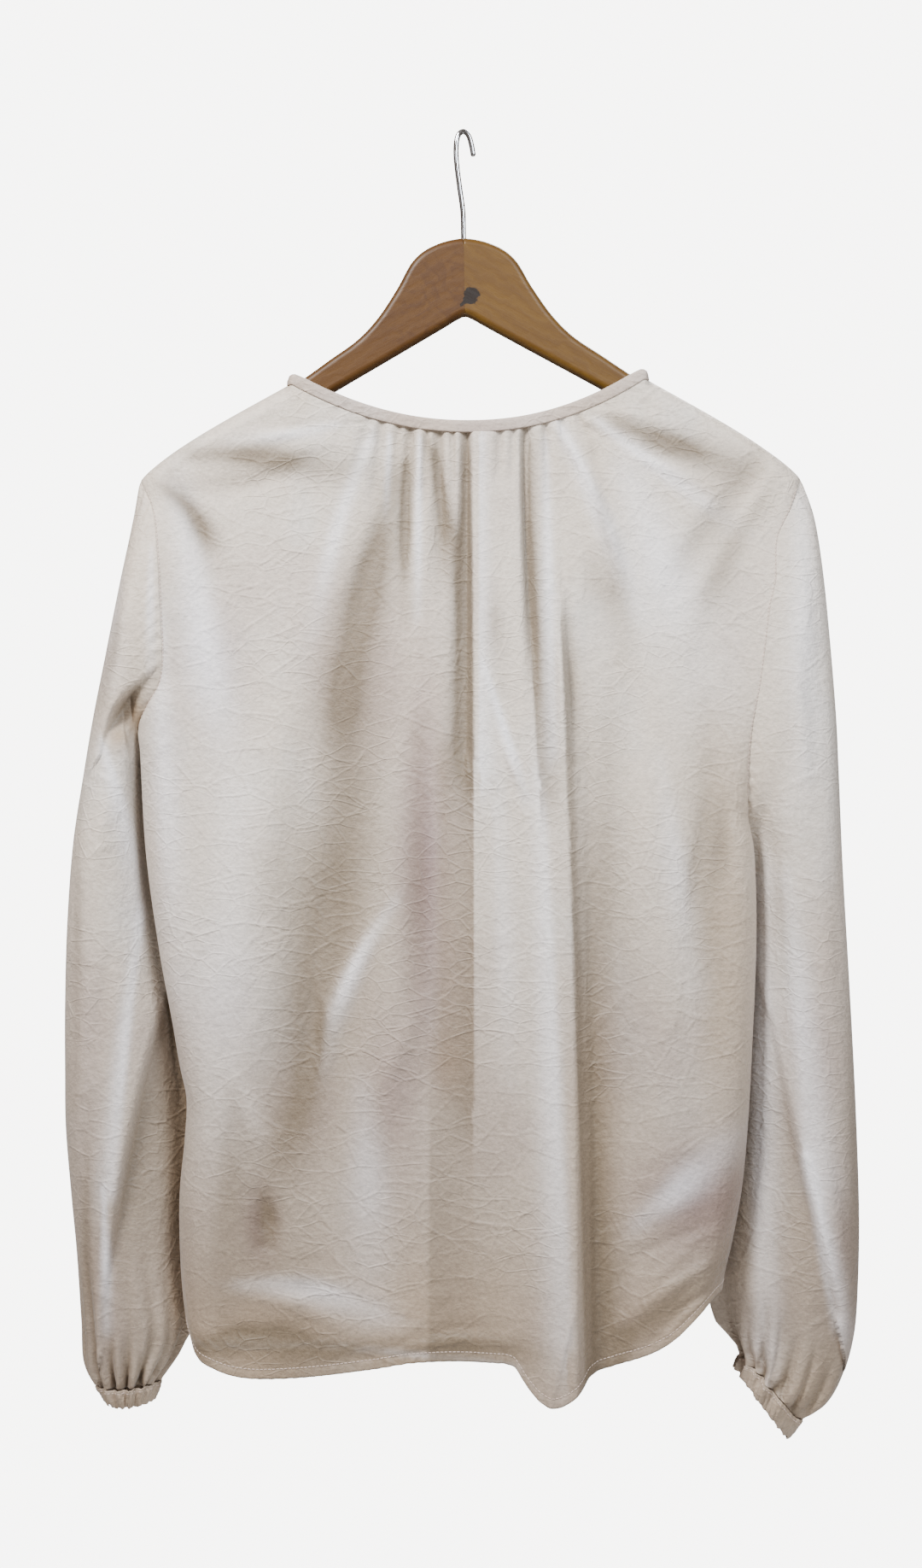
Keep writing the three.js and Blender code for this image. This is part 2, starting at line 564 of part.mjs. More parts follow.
// The binding follows the whole neckline, round the back and then round the front
function bindingGeometry() {
  const back = neckEdge(BACK, backColumns);
  const front = neckEdge(FRONT, frontColumns).reverse();
  const edge = [...back.slice(0, -1), ...front.slice(0, -1)];
  const corners = [0, back.length - 1];
  edge.forEach((point, i) => { if (corners.includes(i)) point.y = 0; });
  const upward = edge.map((_, i) => {
    if (i === corners[0]) return new THREE.Vector3(0.78, 0, 0.62);
    if (i === corners[1]) return new THREE.Vector3(-0.78, 0, 0.62);
    const side = i < corners[1] ? 1 : -1;
    const tangent = new THREE.Vector3().subVectors(edge[(i + 1) % edge.length], edge[i - 1]);
    return new THREE.Vector3(-tangent.z, 0, tangent.x).normalize().multiplyScalar(side);
  });
  const away = (distance) => edge.map((point, i) => point.clone().addScaledVector(upward[i], distance));
  return wall([away(BINDING_HEIGHT), away(BINDING_GAP)], BINDING_THICK, true);
}

// Points of a panel's top edge between the shoulder seams
function neckEdge(panel, columns) {
  const [from, to] = NECK_FRACTIONS.map((place) => columnAt(panel, place));
  const within = columns.filter((across) => across > from - 1e-9 && across < to + 1e-9);
  return within.map((across) => panelPoint(panel, across, 0));
}

// The front band lies on the outside of the front, from the point of the neckline to the hem
function frontBandGeometry() {
  const rise = WALL / 2 + LIFT + FRONT_BAND_THICK / 2;
  const grid = panelGrid(FRONT, bandColumns, frontRows.slice(RIDGE_ROWS));
  grid.flat().forEach((point) => { point.y += rise; });
  return wall(grid, FRONT_BAND_THICK);
}

// Hanger: half its outline, from the crest along the top to the end and back underneath
const HANGER_TOP = [[20, -4.5], [34, -14.5], [45, -33], [58, -52], [72, -66.5], [90, -79],
  [111, -93.5], [134, -108], [156, -121.5], [180, -136], [196, -147]];
const HANGER_UNDERSIDE = [[188, -161], [143, -133], [92, -103], [46, -77]];
const HANGER_APEX_Z = -51;

function hangerOutline() {
  const mirrored = (points) => points.map(([x, z]) => [-x, z]).reverse();
  const top = [...mirrored(HANGER_TOP), [0, 0], ...HANGER_TOP];
  const underside = [...HANGER_UNDERSIDE, [0, HANGER_APEX_Z], ...mirrored(HANGER_UNDERSIDE)];
  const vectors = (points) => points.map(([x, z]) => new THREE.Vector2(x, z));
  const shape = new THREE.Shape();
  shape.setFromPoints([
    ...new THREE.SplineCurve(vectors(top)).getPoints(36),
    ...vectors([[201.5, -153], [199.5, -160]]),
    ...vectors(underside),
    ...vectors([[-199.5, -160], [-201.5, -153]]),
  ]);
  return shape;
}

const wasm = await Module();
wasm.setup();

function toSolid(geometry) {
  const plain = geometry.clone();
  plain.deleteAttribute('normal');
  plain.deleteAttribute('uv');
  const merged = mergeVertices(plain, 1e-4);
  return new wasm.Manifold(new wasm.Mesh({
    numProp: 3,
    vertProperties: new Float32Array(merged.attributes.position.array),
    triVerts: new Uint32Array(merged.index.array),
  }));
}

function fromSolid(solid) {
  const mesh = solid.getMesh();
  const geometry = new THREE.BufferGeometry();
  geometry.setAttribute('position', new THREE.BufferAttribute(new Float32Array(mesh.vertProperties), 3));
  geometry.setIndex(new THREE.BufferAttribute(new Uint32Array(mesh.triVerts), 1));
  geometry.computeVertexNormals();
  return geometry;
}

function hangerHalf(side) {
  const bevel = HANGER_EDGE_RADIUS;
  const whole = new THREE.ExtrudeGeometry(hangerOutline(), {
    depth: HANGER_THICK - 2 * bevel,
    bevelThickness: bevel,
    bevelSize: bevel,
    bevelOffset: -bevel,
    bevelSegments: 2,
    steps: 1,
  });
  whole.translate(0, 0, bevel - HANGER_THICK / 2).rotateX(PI / 2);
  const otherHalf = new THREE.BoxGeometry(500, 60, 500).translate(-side * (250 - GLUE_GAP / 2), 0, 0);
  const hole = new THREE.CylinderGeometry(HOLE_RADIUS, HOLE_RADIUS, 2 * (SHANK_DEPTH + 1), 10).rotateX(PI / 2);
  return fromSolid(toSolid(whole).subtract(toSolid(otherHalf)).subtract(toSolid(hole)));
}

// The hook's wire: straight out of the wood, over the top and down to its tip
function hookGeometry() {
  const stem = HANGER_CREST_Z - SHANK_DEPTH;
  const lean = SHANK_DEPTH * sin(THREE.MathUtils.degToRad(HANGER_TILT));
  const points = [[lean, stem], [0, HANGER_CREST_Z], [-0.5, -52], [-2.6, -36], [-4.6, -20], [-5.0, -9],
    [-3.6, -1.2], [0, 1.5], [3.4, -1.4], [5.4, -8], [6.6, -16]];
  const path = new THREE.CatmullRomCurve3(points.map(([x, z]) => new THREE.Vector3(x, 0, z)));
  const section = new THREE.Shape().absarc(0, 0, WIRE_RADIUS, 0, 2 * PI, false);
  return new THREE.ExtrudeGeometry(section, { steps: 26, curveSegments: 4, extrudePath: path });
}

const cloth = (shade) => new THREE.MeshStandardMaterial({
  color: new THREE.Color(COLOURS.cloth).multiplyScalar(shade), roughness: 0.85, metalness: 0,
});
const wood = (colour) => new THREE.MeshStandardMaterial({ color: colour, roughness: 0.5, metalness: 0 });

function piece(name, geometry, material) {
  const mesh = new THREE.Mesh(geometry, material);
  mesh.name = name;
  return mesh;
}

const hanger = new THREE.Group();
hanger.add(piece('hanger_left', hangerHalf(-1), wood(COLOURS.darkWood)));
hanger.add(piece('hanger_right', hangerHalf(1), wood(COLOURS.lightWood)));
hanger.position.z = HANGER_CREST_Z;
hanger.rotation.y = -THREE.MathUtils.degToRad(HANGER_TILT);

const blouse = new THREE.Group();
blouse.add(
  piece('back', backGeometry(), cloth(1)),
  piece('front', frontGeometry(), cloth(0.97)),
  piece('sleeve_left', sleeveGeometry(LEFT_ARM), cloth(0.96)),
  piece('sleeve_right', sleeveGeometry(RIGHT_ARM), cloth(0.96)),
  piece('cuff_left', cuffGeometry(LEFT_ARM), cloth(0.9)),
  piece('cuff_right', cuffGeometry(RIGHT_ARM), cloth(0.9)),
  piece('neck_binding', bindingGeometry(), cloth(1)),
  piece('front_band', frontBandGeometry(), cloth(0.93)),
  hanger,
  piece('hook', hookGeometry(), new THREE.MeshStandardMaterial({
    color: COLOURS.chrome, roughness: 0.2, metalness: 1,
  })),
);

export default blouse;
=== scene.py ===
"""Looks of a blouse on a wooden hanger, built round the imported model.

Lengths in the tables are millimetres in the model's frame: X across, Y from the back of the
blouse (-Y) to its front (+Y), and Z up from the inside top of the hook.
"""

import bmesh
import bpy
import numpy as np
from bpy.props import FloatProperty, FloatVectorProperty, PointerProperty
from mathutils import Matrix, Vector


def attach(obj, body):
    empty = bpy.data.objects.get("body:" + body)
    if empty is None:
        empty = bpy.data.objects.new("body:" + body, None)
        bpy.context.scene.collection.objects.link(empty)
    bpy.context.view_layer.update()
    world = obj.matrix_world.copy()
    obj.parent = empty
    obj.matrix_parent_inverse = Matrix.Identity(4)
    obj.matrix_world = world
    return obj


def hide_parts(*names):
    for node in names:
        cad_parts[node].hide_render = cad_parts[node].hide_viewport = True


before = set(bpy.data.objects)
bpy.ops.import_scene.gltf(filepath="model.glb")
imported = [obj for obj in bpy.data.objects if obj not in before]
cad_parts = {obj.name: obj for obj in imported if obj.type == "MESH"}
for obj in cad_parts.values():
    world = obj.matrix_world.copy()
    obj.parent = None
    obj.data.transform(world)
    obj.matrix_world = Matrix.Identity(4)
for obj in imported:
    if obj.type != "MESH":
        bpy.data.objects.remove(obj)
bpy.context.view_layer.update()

bl_info = {
    "name": "Blouse on a hanger",
    "version": (1, 0, 0),
    "blender": (4, 5, 0),
    "location": "3D View > Sidebar > Blouse",
    "description": "Builds the cloth, sewing, hanger and stage of a hanging blouse",
    "category": "Object",
}

MM = 0.001
TAU = 2 * np.pi

# Body of the blouse, as in the model
LEFT_TIP = (-215, -232)
RIGHT_TIP = (224.5, -231)
LEFT_NECK = (-117, -168.5)
RIGHT_NECK = (123, -165)
LEFT_SEAM_END = (-183, -790)
RIGHT_SEAM_END = (172, -767)
SIDE_SEAM_Y = -5
ARMHOLE_DEPTH = 22
LEFT_UNDERARM_Z = -397
RIGHT_UNDERARM_Z = -455
RIDGE_ROLL = 9
BACK_SIDE_ROLL = 24
FRONT_SIDE_ROLL = 52
NECK_FRACTIONS = (0.2, 0.8)
GATHER_FRACTIONS = (0.31, 0.70)
BACK_NECK_Z = -200
V_POINT = (-8, -400)
V_SOFTNESS = 0.2
NECK_WRAP = 3.5
SEAM_INSET = 0.3
FRONT_BAND_WIDTH = 28
FRONT_BAND_RISE = 1.5
BODY_HEIGHT = LEFT_TIP[1] - LEFT_SEAM_END[1]
BODY_WIDTH = RIGHT_SEAM_END[0] - LEFT_SEAM_END[0]
RIDGE_DROP = RIDGE_ROLL / BODY_HEIGHT
RIDGE_SHARE = 1.5 * RIDGE_DROP

# Strips and rows of the cloth's meshes
BACK_COLUMNS = (18, 18, 24, 116, 24, 18, 18)
BACK_ROWS = 182
FRONT_COLUMNS = (18, 14, 22, 34, 22, 14, 18)
FRONT_ROWS = 150
RIDGE_ROWS = 8
HEM_ROWS = 7
SLEEVE_SIDES = 184
SLEEVE_ROWS = 256
CUFF_ROWS = 12


def table(columns, rows):
    return {name: np.array([row[i] for row in rows], float) for i, name in enumerate(columns)}


FULLNESS = table(("z", "back", "front"), (
    (-160, 9.5, 9.5), (-235, 12, 13), (-330, 20, 17), (-450, 27, 23), (-600, 34, 28),
    (-740, 38, 31), (-840, 40, 32),
))

LEFT_SIDE = table(("z", "x"), (
    (-232, -215), (-252, -206), (-282, -202), (-315, -200), (-350, -198.5), (-368, -201),
    (-382, -209), (-397, -216), (-412, -215), (-480, -211), (-545, -202), (-594, -193),
    (-620, -188.5), (-642, -184), (-668, -185), (-706, -188.5), (-748, -188), (-778, -185.5),
    (-790, -183),
))
RIGHT_SIDE = table(("z", "x"), (
    (-231, 224.5), (-252, 216.5), (-272, 207.5), (-300, 206), (-318, 202), (-342, 199),
    (-368, 195.5), (-395, 190.5), (-424, 188), (-455, 189), (-478, 193), (-537, 194.5),
    (-622, 191), (-657, 189), (-700, 185), (-736, 178.5), (-757, 173.5), (-767, 172),
))
BACK_HEM = table(("x", "z"), (
    (-183, -790), (-175, -808), (-163, -815), (-149, -820), (-130, -822), (-104, -821),
    (-62, -815), (-32, -810), (20, -810), (33, -812), (39, -821), (48, -832), (57, -837),
    (67, -834), (77, -826), (82, -820), (98, -814), (121, -805), (137, -795), (154, -779),
    (164, -770), (172, -767),
))
FRONT_HEM = table(("x", "z"), (
    (-183, -790), (-168, -800), (-140, -804), (-70, -802), (0, -796), (70, -796), (120, -788),
    (150, -773), (172, -767),
))

# Folds run from a start to an end with a bow between. They sink the cloth where a depth is above 0
# and raise it below 0, over one width on the lower side and another on the far side.
FOLD_COLUMNS = ("x", "z", "end_x", "end_z", "bow", "width", "far_width", "start", "middle", "end")

NECK_GATHERS = table(FOLD_COLUMNS, (
    (-64, -194, -74, -235, 0, 5, 6, 2.0, 1.4, 0),
    (-55, -196, -62, -262, 0, 5, 6, 3.2, 2.0, 0),
    (-43, -198, -47, -250, 0, 5, 5, 3.2, 1.8, 0),
    (-36, -198, -41, -316, 0, 6, 8, 4.4, 4.0, 0.4),
    (-24.5, -199, -26, -262, 0, 4, 4, 3.2, 2.0, 0),
    (-16, -199, -15, -337, 0, 9, 6, 4.6, 4.2, 0.5),
    (-7.5, -199, -7, -262, 0, 4, 4, 3.0, 1.8, 0),
    (2.5, -199, 1, -410, 0, 9, 4, 5.2, 6.5, 5.0),
    (24, -199, 23.5, -245, 0, 5, 5, 3.4, 2.4, 0),
    (33, -199, 31, -246, 0, 4, 4, 3.0, 1.8, 0),
    (40, -198, 47, -404, -2, 3.5, 9, 4.8, 4.6, 1.0),
    (54, -197, 58, -262, 0, 4, 5, 3.2, 2.0, 0),
    (65, -196, 74, -245, 0, 5, 5, 2.6, 1.6, 0),
    (77, -193, 92, -230, 0, 5, 5, 2.0, 1.2, 0),
))
BACK_FOLDS = table(FOLD_COLUMNS, (
    (7.5, -201, 8, -770, 0, 4, 30, -1.4, -2.0, -0.8),
    (64, -310, 72, -838, 2, 44, 7, -1.0, -7.0, -15.0),
    (80, -320, 90, -818, 0, 7, 34, 1.0, 4.0, 8.0),
    (80, -270, 103, -343, 0, 14, 16, 0, 3.0, 0),
    (-42, -300, -140, -757, 0, 40, 46, 0, 6.5, 2.0),
    (-105, -290, -172, -700, 0, 30, 30, 0, -3.5, 0),
    (122, -290, 132, -790, 0, 34, 30, 0, -5.0, -6.0),
    (160, -300, 158, -720, 0, 22, 22, 0, 4.5, 1.0),
    (196, -226, 160, -292, 0, 12, 14, 1.5, 2.5, 0),
    (-197, -230, -160, -290, 0, 12, 12, 1.0, 1.8, 0),
    (-30, -640, -40, -812, 0, 26, 30, 0, -3.0, -4.0),
    (-100, -700, -112, -822, 0, 24, 24, 0, 2.0, 3.0),
))
FRONT_FOLDS = table(FOLD_COLUMNS, (
    (-70, -330, -92, -780, 0, 26, 26, 0, 6.0, 8.0),
    (-56, -470, -60, -795, 0, 18, 18, 0, -4.0, -6.0),
    (46, -450, 50, -795, 0, 18, 18, 0, -4.0, -5.0),
    (90, -320, 96, -790, 0, 26, 26, 0, 6.0, 8.0),
    (-140, -420, -150, -780, 0, 20, 20, 0, -4.0, -3.0),
    (136, -440, 138, -770, 0, 20, 20, 0, -4.0, -4.0),
))

# Softer folds that only the cloth shows, on the back
BACK_DRAPES = table(FOLD_COLUMNS, (
    (-69, -194, -140, -190, 6, 3, 5, 1.2, 0.8, 0),
    (-66, -197, -160, -214, -4, 4, 3, -1.0, -1.2, 0),
    (-100, -222, -186, -240, 4, 9, 9, 0, 1.6, 0.6),
    (-60, -205, -150, -232, -6, 6, 6, 0.2, -0.9, 0),
    (-194, -230, -163, -318, 7, 7, 7, 0.8, 1.8, 0.2),
    (-200, -240, -179, -325, 5, 9, 8, -0.6, -1.6, 0),
    (-46, -240, -78, -370, -4, 12, 12, 0.4, 1.8, 0),
    (84, -194, 180, -240, -6, 5, 4, -1.2, -1.6, 0),
    (86, -199, 156, -219, -5, 4, 5, 1.4, 1.4, 0),
    (90, -187, 150, -203, 4, 3, 3, -0.6, -0.8, 0),
    (100, -192, 188, -224, -3, 3, 4, 0.5, 0.9, 0),
    (194, -217, 126, -326, -3, 10, 14, 1.0, 2.2, 0.2),
    (206, -226, 176, -270, 0, 8, 7, -0.4, -1.3, 0),
    (63, -200, 106, -340, 12, 5, 6, -1.4, -1.8, -0.4),
    (61, -312, 66, -411, 1, 5, 2.5, -0.4, -2.2, -1.4),
    (68, -318, 74, -420, 0, 3, 8, 0.6, 2.4, 1.2),
    (38, -205, 51, -412, -2, 2.2, 5, 1.2, 1.8, 0.6),
    (-29, -203, -36, -330, 0, 4, 4, -1.0, -1.0, 0),
    (-4, -203, -5, -300, 0, 3, 4, -1.2, -1.2, 0),
    (21, -396, 44, -450, 0, 4, 4, 0, -2.0, 0),
    (-47, -513, -92, -615, -6, 7, 9, 0, -2.4, -0.6),
    (-99, -545, -104, -650, 3, 12, 8, 0, 2.2, 0.4),
    (-20, -565, -60, -660, -4, 9, 9, 0, -1.3, 0),
    (-158, -610, -128, -684, 2, 8, 8, 0, -1.6, 0),
    (-134, -690, -130, -752, 4, 9, 10, 0, 2.8, 0.4),
    (156, -455, 146, -540, -3, 2.6, 10, 0.8, 1.6, 0.6),
    (170, -430, 168, -520, 2, 9, 9, 0, 1.6, 0),
    (120, -380, 96, -620, 8, 14, 14, 0, -1.2, 0),
    (168, -720, 84, -770, -8, 7, 7, 0, 1.4, 0),
    (174, -742, 92, -800, -6, 7, 7, 0, -1.3, 0),
    (171, -756, 108, -806, -4, 6, 6, 0, 1.2, 0),
    (-160, -766, -70, -786, 5, 8, 8, 0, -1.6, 0),
    (-172, -790, -100, -800, 4, 6, 6, 0, 1.2, 0),
    (-64, -808, 24, -796, 5, 4, 4, 0.4, -1.4, -0.6),
    (-52, -802, 24, -789, 5, 3, 3, 0.4, 1.0, 0.4),
    (-186, -640, -166, -500, 0, 12, 14, 0, 1.0, 0),
    (-150, -420, -118, -520, 0, 14, 14, 0, -1.0, 0),
))

# Crisp creases: a start, an end, the bow between, and the height and width of the pinch
CREASE_COLUMNS = ("x", "z", "end_x", "end_z", "bow", "height", "width")

BACK_CREASES = table(CREASE_COLUMNS, (
    (-208, -418, -185, -399, 0, 1.1, 2.5),
    (-99, -415, -86, -472, 2, 0.5, 2.2),
    (-128, -459, -99, -537, 2, 0.6, 2.2),
    (-104, -540, -78, -612, -2, 0.5, 2.4),
    (-158, -619, -128, -684, -2, 0.7, 2.5),
    (-90, -702, -57, -725, 1, 0.6, 2.0),
    (-91, -730, -80, -750, 1, 0.8, 2.0),
    (-152, -769, -97, -756, 3, 1.2, 2.2),
    (-97, -756, -31, -780, 3, 1.1, 2.2),
    (-124, -779, -78, -766, 4, 0.9, 2.0),
    (-127, -779, -88, -801, 2, 1.1, 2.0),
    (-118, -777, -67, -793, 3, 0.8, 2.0),
    (-100, -768, -124, -781, 0, 0.7, 1.8),
    (-160, -787, -110, -797, 2, 0.7, 2.2),
    (-167, -802, -108, -801, 3, 0.8, 2.2),
    (-150, -735, -104, -726, 2, 0.6, 2.0),
    (-146, -722, -100, -740, -2, 0.6, 2.0),
    (-140, -748, -92, -738, 3, 0.7, 2.0),
    (-47, -742, -28, -730, 1, 0.6, 2.0),
    (-66, -758, -40, -745, 1, 0.6, 2.0),
    (-44, -792, -20, -776, -1, 0.6, 2.2),
    (-78, -800, -52, -786, 2, 0.7, 2.0),
    (-88, -806, -60, -797, 1, 0.7, 1.8),
    (-30, -770, 6, -764, 2, 0.5, 2.2),
    (-20, -782, 24, -778, 2, 0.5, 2.2),
    (-10, -752, 30, -760, -2, 0.4, 2.4),
    (77, -362, 151, -322, -2, 0.6, 2.0),
    (79, -375, 116, -355, 1, 0.6, 2.0),
    (92, -330, 150, -336, 1, 0.3, 2.4),
    (128, -348, 176, -318, 2, 0.4, 2.2),
    (84, -388, 140, -372, -2, 0.4, 2.2),
    (141, -422, 118, -476, -2, 0.7, 2.2),
    (144, -445, 116, -513, -2, 0.7, 2.2),
    (128, -400, 92, -470, 2, 0.4, 2.4),
    (156, -459, 148, -525, -2, 0.9, 2.4),
    (172, -396, 150, -432, 0, 0.6, 2.4),
    (166, -330, 184, -352, 2, 0.7, 2.0),
    (180, -345, 150, -380, 2, 0.4, 2.4),
    (116, -565, 78, -606, -3, 0.7, 2.2),
    (132, -560, 84, -640, -4, 0.5, 2.4),
    (150, -572, 104, -650, -4, 0.5, 2.4),
    (12, -466, 64, -461, -2, 0.5, 2.0),
    (14, -472, 60, -470, -2, 0.5, 2.0),
    (13, -501, 43, -515, 1, 0.6, 2.0),
    (14, -478, 28, -500, 1, 0.5, 2.0),
    (43, -515, 62, -552, 2, 0.6, 2.2),
    (20, -530, 48, -548, 1, 0.4, 2.0),
    (12, -420, 34, -452, 1, 0.5, 2.0),
    (78, -720, 152, -710, 4, 0.8, 2.2),
    (78, -739, 144, -712, 5, 0.8, 2.2),
    (80, -772, 176, -722, 8, 1.1, 2.2),
    (83, -806, 172, -739, 6, 1.3, 2.2),
    (110, -804, 169, -753, 4, 1.0, 2.2),
    (97, -789, 158, -726, 3, 1.0, 2.2),
    (126, -800, 168, -762, 3, 0.8, 2.0),
    (86, -752, 130, -742, 2, 0.5, 2.0),
    (100, -700, 150, -690, 3, 0.5, 2.2),
    (110, -684, 158, -668, 2, 0.5, 2.2),
    (37, -766, 74, -748, -3, 0.8, 2.0),
    (38, -778, 72, -783, -4, 0.7, 2.0),
    (38, -788, 68, -792, -3, 0.7, 2.0),
    (40, -756, 60, -728, 2, 0.6, 2.0),
    (36, -742, 70, -736, -2, 0.6, 2.0),
    (73, -766, 56, -836, 0, 1.6, 2.2),
    (66, -772, 78, -800, 0, 0.7, 1.8),
    (-60, -250, -100, -330, 6, 0.4, 2.6),
    (-120, -240, -90, -290, 0, 0.4, 2.4),
    (-140, -300, -110, -345, -2, 0.4, 2.4),
    (-176, -352, -120, -372, 3, 0.5, 2.2),
    (-190, -372, -150, -360, -2, 0.5, 2.4),
    (-170, -430, -140, -470, 2, 0.4, 2.4),
    (-30, -330, -6, -360, 1, 0.4, 2.0),
    (-34, -372, -8, -404, 1, 0.6, 2.0),
    (-42, -388, -14, -424, 2, 0.6, 2.0),
    (-36, -418, -12, -426, 1, 0.6, 2.0),
    (-120, -212, -168, -206, 2, 0.5, 2.2),
    (-108, -200, -150, -200, 2, 0.4, 2.0),
    (110, -262, 150, -280, 2, 0.4, 2.2),
    (96, -250, 140, -256, 2, 0.4, 2.2),
    (120, -300, 170, -312, 2, 0.3, 2.4),
))

FRONT_DRAPES = table(FOLD_COLUMNS, (
    (-20, -410, -46, -600, 4, 10, 12, 0, -1.8, 0.5),
    (6, -410, 34, -600, -4, 12, 10, 0, -1.8, 0.5),
    (-110, -200, -60, -330, -8, 9, 9, 0.4, 2.0, 0),
    (112, -200, 54, -330, 8, 9, 9, 0.4, 2.0, 0),
    (-150, -230, -120, -420, 6, 14, 14, 0, -2.2, 0),
    (158, -230, 122, -420, -6, 14, 14, 0, -2.2, 0),
    (-120, -560, -124, -790, 4, 12, 12, 0, 2.4, 2.0),
    (20, -560, 26, -790, -3, 8, 8, 0, 1.8, 1.6),
    (72, -600, 74, -790, 2, 8, 8, 0, -2.0, -1.6),
    (-30, -620, -34, -790, 2, 7, 7, 0, 1.6, 1.2),
))
FRONT_CREASES = table(CREASE_COLUMNS, (
    (-60, -780, -130, -760, 3, 0.8, 2.2),
    (-150, -740, -100, -765, 2, 0.8, 2.2),
    (40, -770, 110, -750, 3, 0.8, 2.2),
    (80, -790, 150, -748, 4, 0.9, 2.2),
    (-100, -700, -60, -730, 2, 0.6, 2.2),
    (30, -700, 90, -716, 2, 0.6, 2.2),
    (-30, -440, -90, -500, 4, 0.6, 2.4),
    (20, -440, 80, -500, -4, 0.6, 2.4),
    (-50, -540, -110, -580, 3, 0.5, 2.4),
    (40, -560, 100, -600, 3, 0.5, 2.4),
    (-80, -300, -130, -340, 2, 0.5, 2.4),
    (84, -300, 136, -340, 2, 0.5, 2.4),
    (-120, -460, -160, -440, 2, 0.6, 2.4),
    (120, -480, 160, -460, 2, 0.6, 2.4),
    (-40, -640, -10, -650, 1, 0.5, 2.2),
    (14, -660, 46, -640, 1, 0.5, 2.2),
))

# Placed patches of colour: centre, half width, half height and amount. The rosy patches are partly dye and
# partly painted shade, the brown ones on the back, sleeves and cuffs are painted shade, and the binding's rosy
# and brown are an even tone.
PATCH_COLUMNS = ("x", "z", "half_width", "half_height", "amount")
PAINT_LAYERS = ("trough", "rosy_dye_and_shade", "brown_tone_and_shade", "bright")
TROUGH_DEPTH = 6.0
ROSY_DYE_AND_SHADE_PATCHES = table(PATCH_COLUMNS, (
    (-27, -480, 18, 130, 0.9), (-58, -368, 36, 66, 0.5), (-133, -721, 11, 24, 1.0),
    (155, -704, 42, 38, 0.8), (-164, -346, 26, 56, 0.4), (-46, -637, 28, 70, 0.5),
    (100, -600, 30, 50, 0.3), (-105, -640, 30, 40, 0.4),
))
BROWN_SHADE_PATCHES = table(PATCH_COLUMNS, (
    (174, -564, 22, 170, 0.7), (-198, -480, 12, 120, 0.6), (-75, -547, 34, 80, 0.5),
    (84, -648, 14, 150, 0.8), (-8, -800, 70, 60, 0.75), (-8, -617, 13, 20, 0.9),
    (-140, -230, 40, 14, 0.3), (168, -236, 26, 14, 0.4), (130, -790, 60, 34, 0.6),
    (-130, -800, 60, 40, 0.8),
))
SLEEVE_ROSY = table(PATCH_COLUMNS, (
    (-240, -330, 16, 60, 0.25), (-246, -640, 14, 90, 0.3), (-238, -760, 14, 50, 0.3),
    (236, -560, 20, 90, 0.25), (250, -740, 14, 60, 0.35),
))
LEFT_SLEEVE_SHADE_PATCHES = table(PATCH_COLUMNS, (
    (-186, -690, 13, 130, 0.9), (-206, -480, 10, 90, 0.3), (-225, -846, 40, 22, 0.6),
    (-218, -389, 13, 15, 1.0), (-228, -402, 8, 9, 0.9),
))
RIGHT_SLEEVE_SHADE_PATCHES = table(PATCH_COLUMNS, (
    (189, -620, 8, 150, 0.3), (205, -740, 22, 80, 0.4), (214, -842, 46, 34, 0.6),
))
BINDING_ROSY = table(PATCH_COLUMNS, ((0, -200, 900, 900, 0.35),))
BINDING_BROWN = table(PATCH_COLUMNS, ((0, -200, 900, 900, 0.22),))

# Streaks of painted shade and of painted highlights down the back, drawn as folds are: amounts from start to
# end
DARK_STREAKS = table(FOLD_COLUMNS, (
    (5.0, -222, 6, -416, 0, 16, 1.2, 0.5, 0.8, 0.9),
    (-20, -215, -2, -298, 0, 9, 7, 0.7, 0.7, 0.4),
    (-39, -224, -39, -318, 0, 4, 6, 0.6, 0.7, 0.2),
    (43.5, -214, 50, -430, -2, 1.2, 13, 0.4, 0.7, 0.6),
    (64.5, -329, 80, -824, 1, 1.5, 15, 0.5, 0.65, 0.6),
    (103, -278, 104, -366, 0, 12, 12, 0.15, 0.3, 0.1),
    (-176, -216, -86, -226, 3, 11, 12, 0.5, 0.95, 0.4),
    (104, -196, 172, -222, 0, 10, 12, 0.6, 1.0, 0.5),
    (-46, -240, -78, -368, 0, 22, 19, 0.5, 0.9, 0.6),
    (84, -214, 100, -300, 0, 6, 9, 0.15, 0.35, 0.15),
    (6, -420, 6, -640, 0, 16, 1.2, 0.15, 0.35, 0.5),
    (-29, -400, -31, -610, 0, 14, 12, 0.2, 0.4, 0.2),
    (-78, -368, -84, -470, 0, 20, 24, 0.4, 0.3, 0.1),
    (-21, -600, -21, -806, 0, 2.5, 46, 0.1, 0.4, 0.4),
    (196, -250, 150, -340, -4, 10, 14, 0.3, 0.5, 0.1),
    (-196, -240, -156, -290, 4, 12, 9, 0.5, 0.5, 0.1),
    (-90, -600, -130, -730, -4, 18, 24, 0.2, 0.35, 0.05),
    (84, -820, 168, -750, 6, 18, 12, 0.6, 0.7, 0.4),
    (-168, -800, -90, -802, 6, 18, 12, 0.8, 0.6, 0.5),
    (-90, -802, 30, -800, 3, 12, 8, 0.5, 0.5, 0.5),
    (96, -400, 100, -620, 0, 18, 22, 0.2, 0.35, 0.2),
    (20, -300, 22, -360, 0, 8, 8, 0.1, 0.35, 0.1),
    (-110, -410, -124, -560, 0, 20, 20, 0.1, 0.3, 0.1),
    (-150, -640, -158, -760, 0, 14, 20, 0.2, 0.4, 0.3),
))
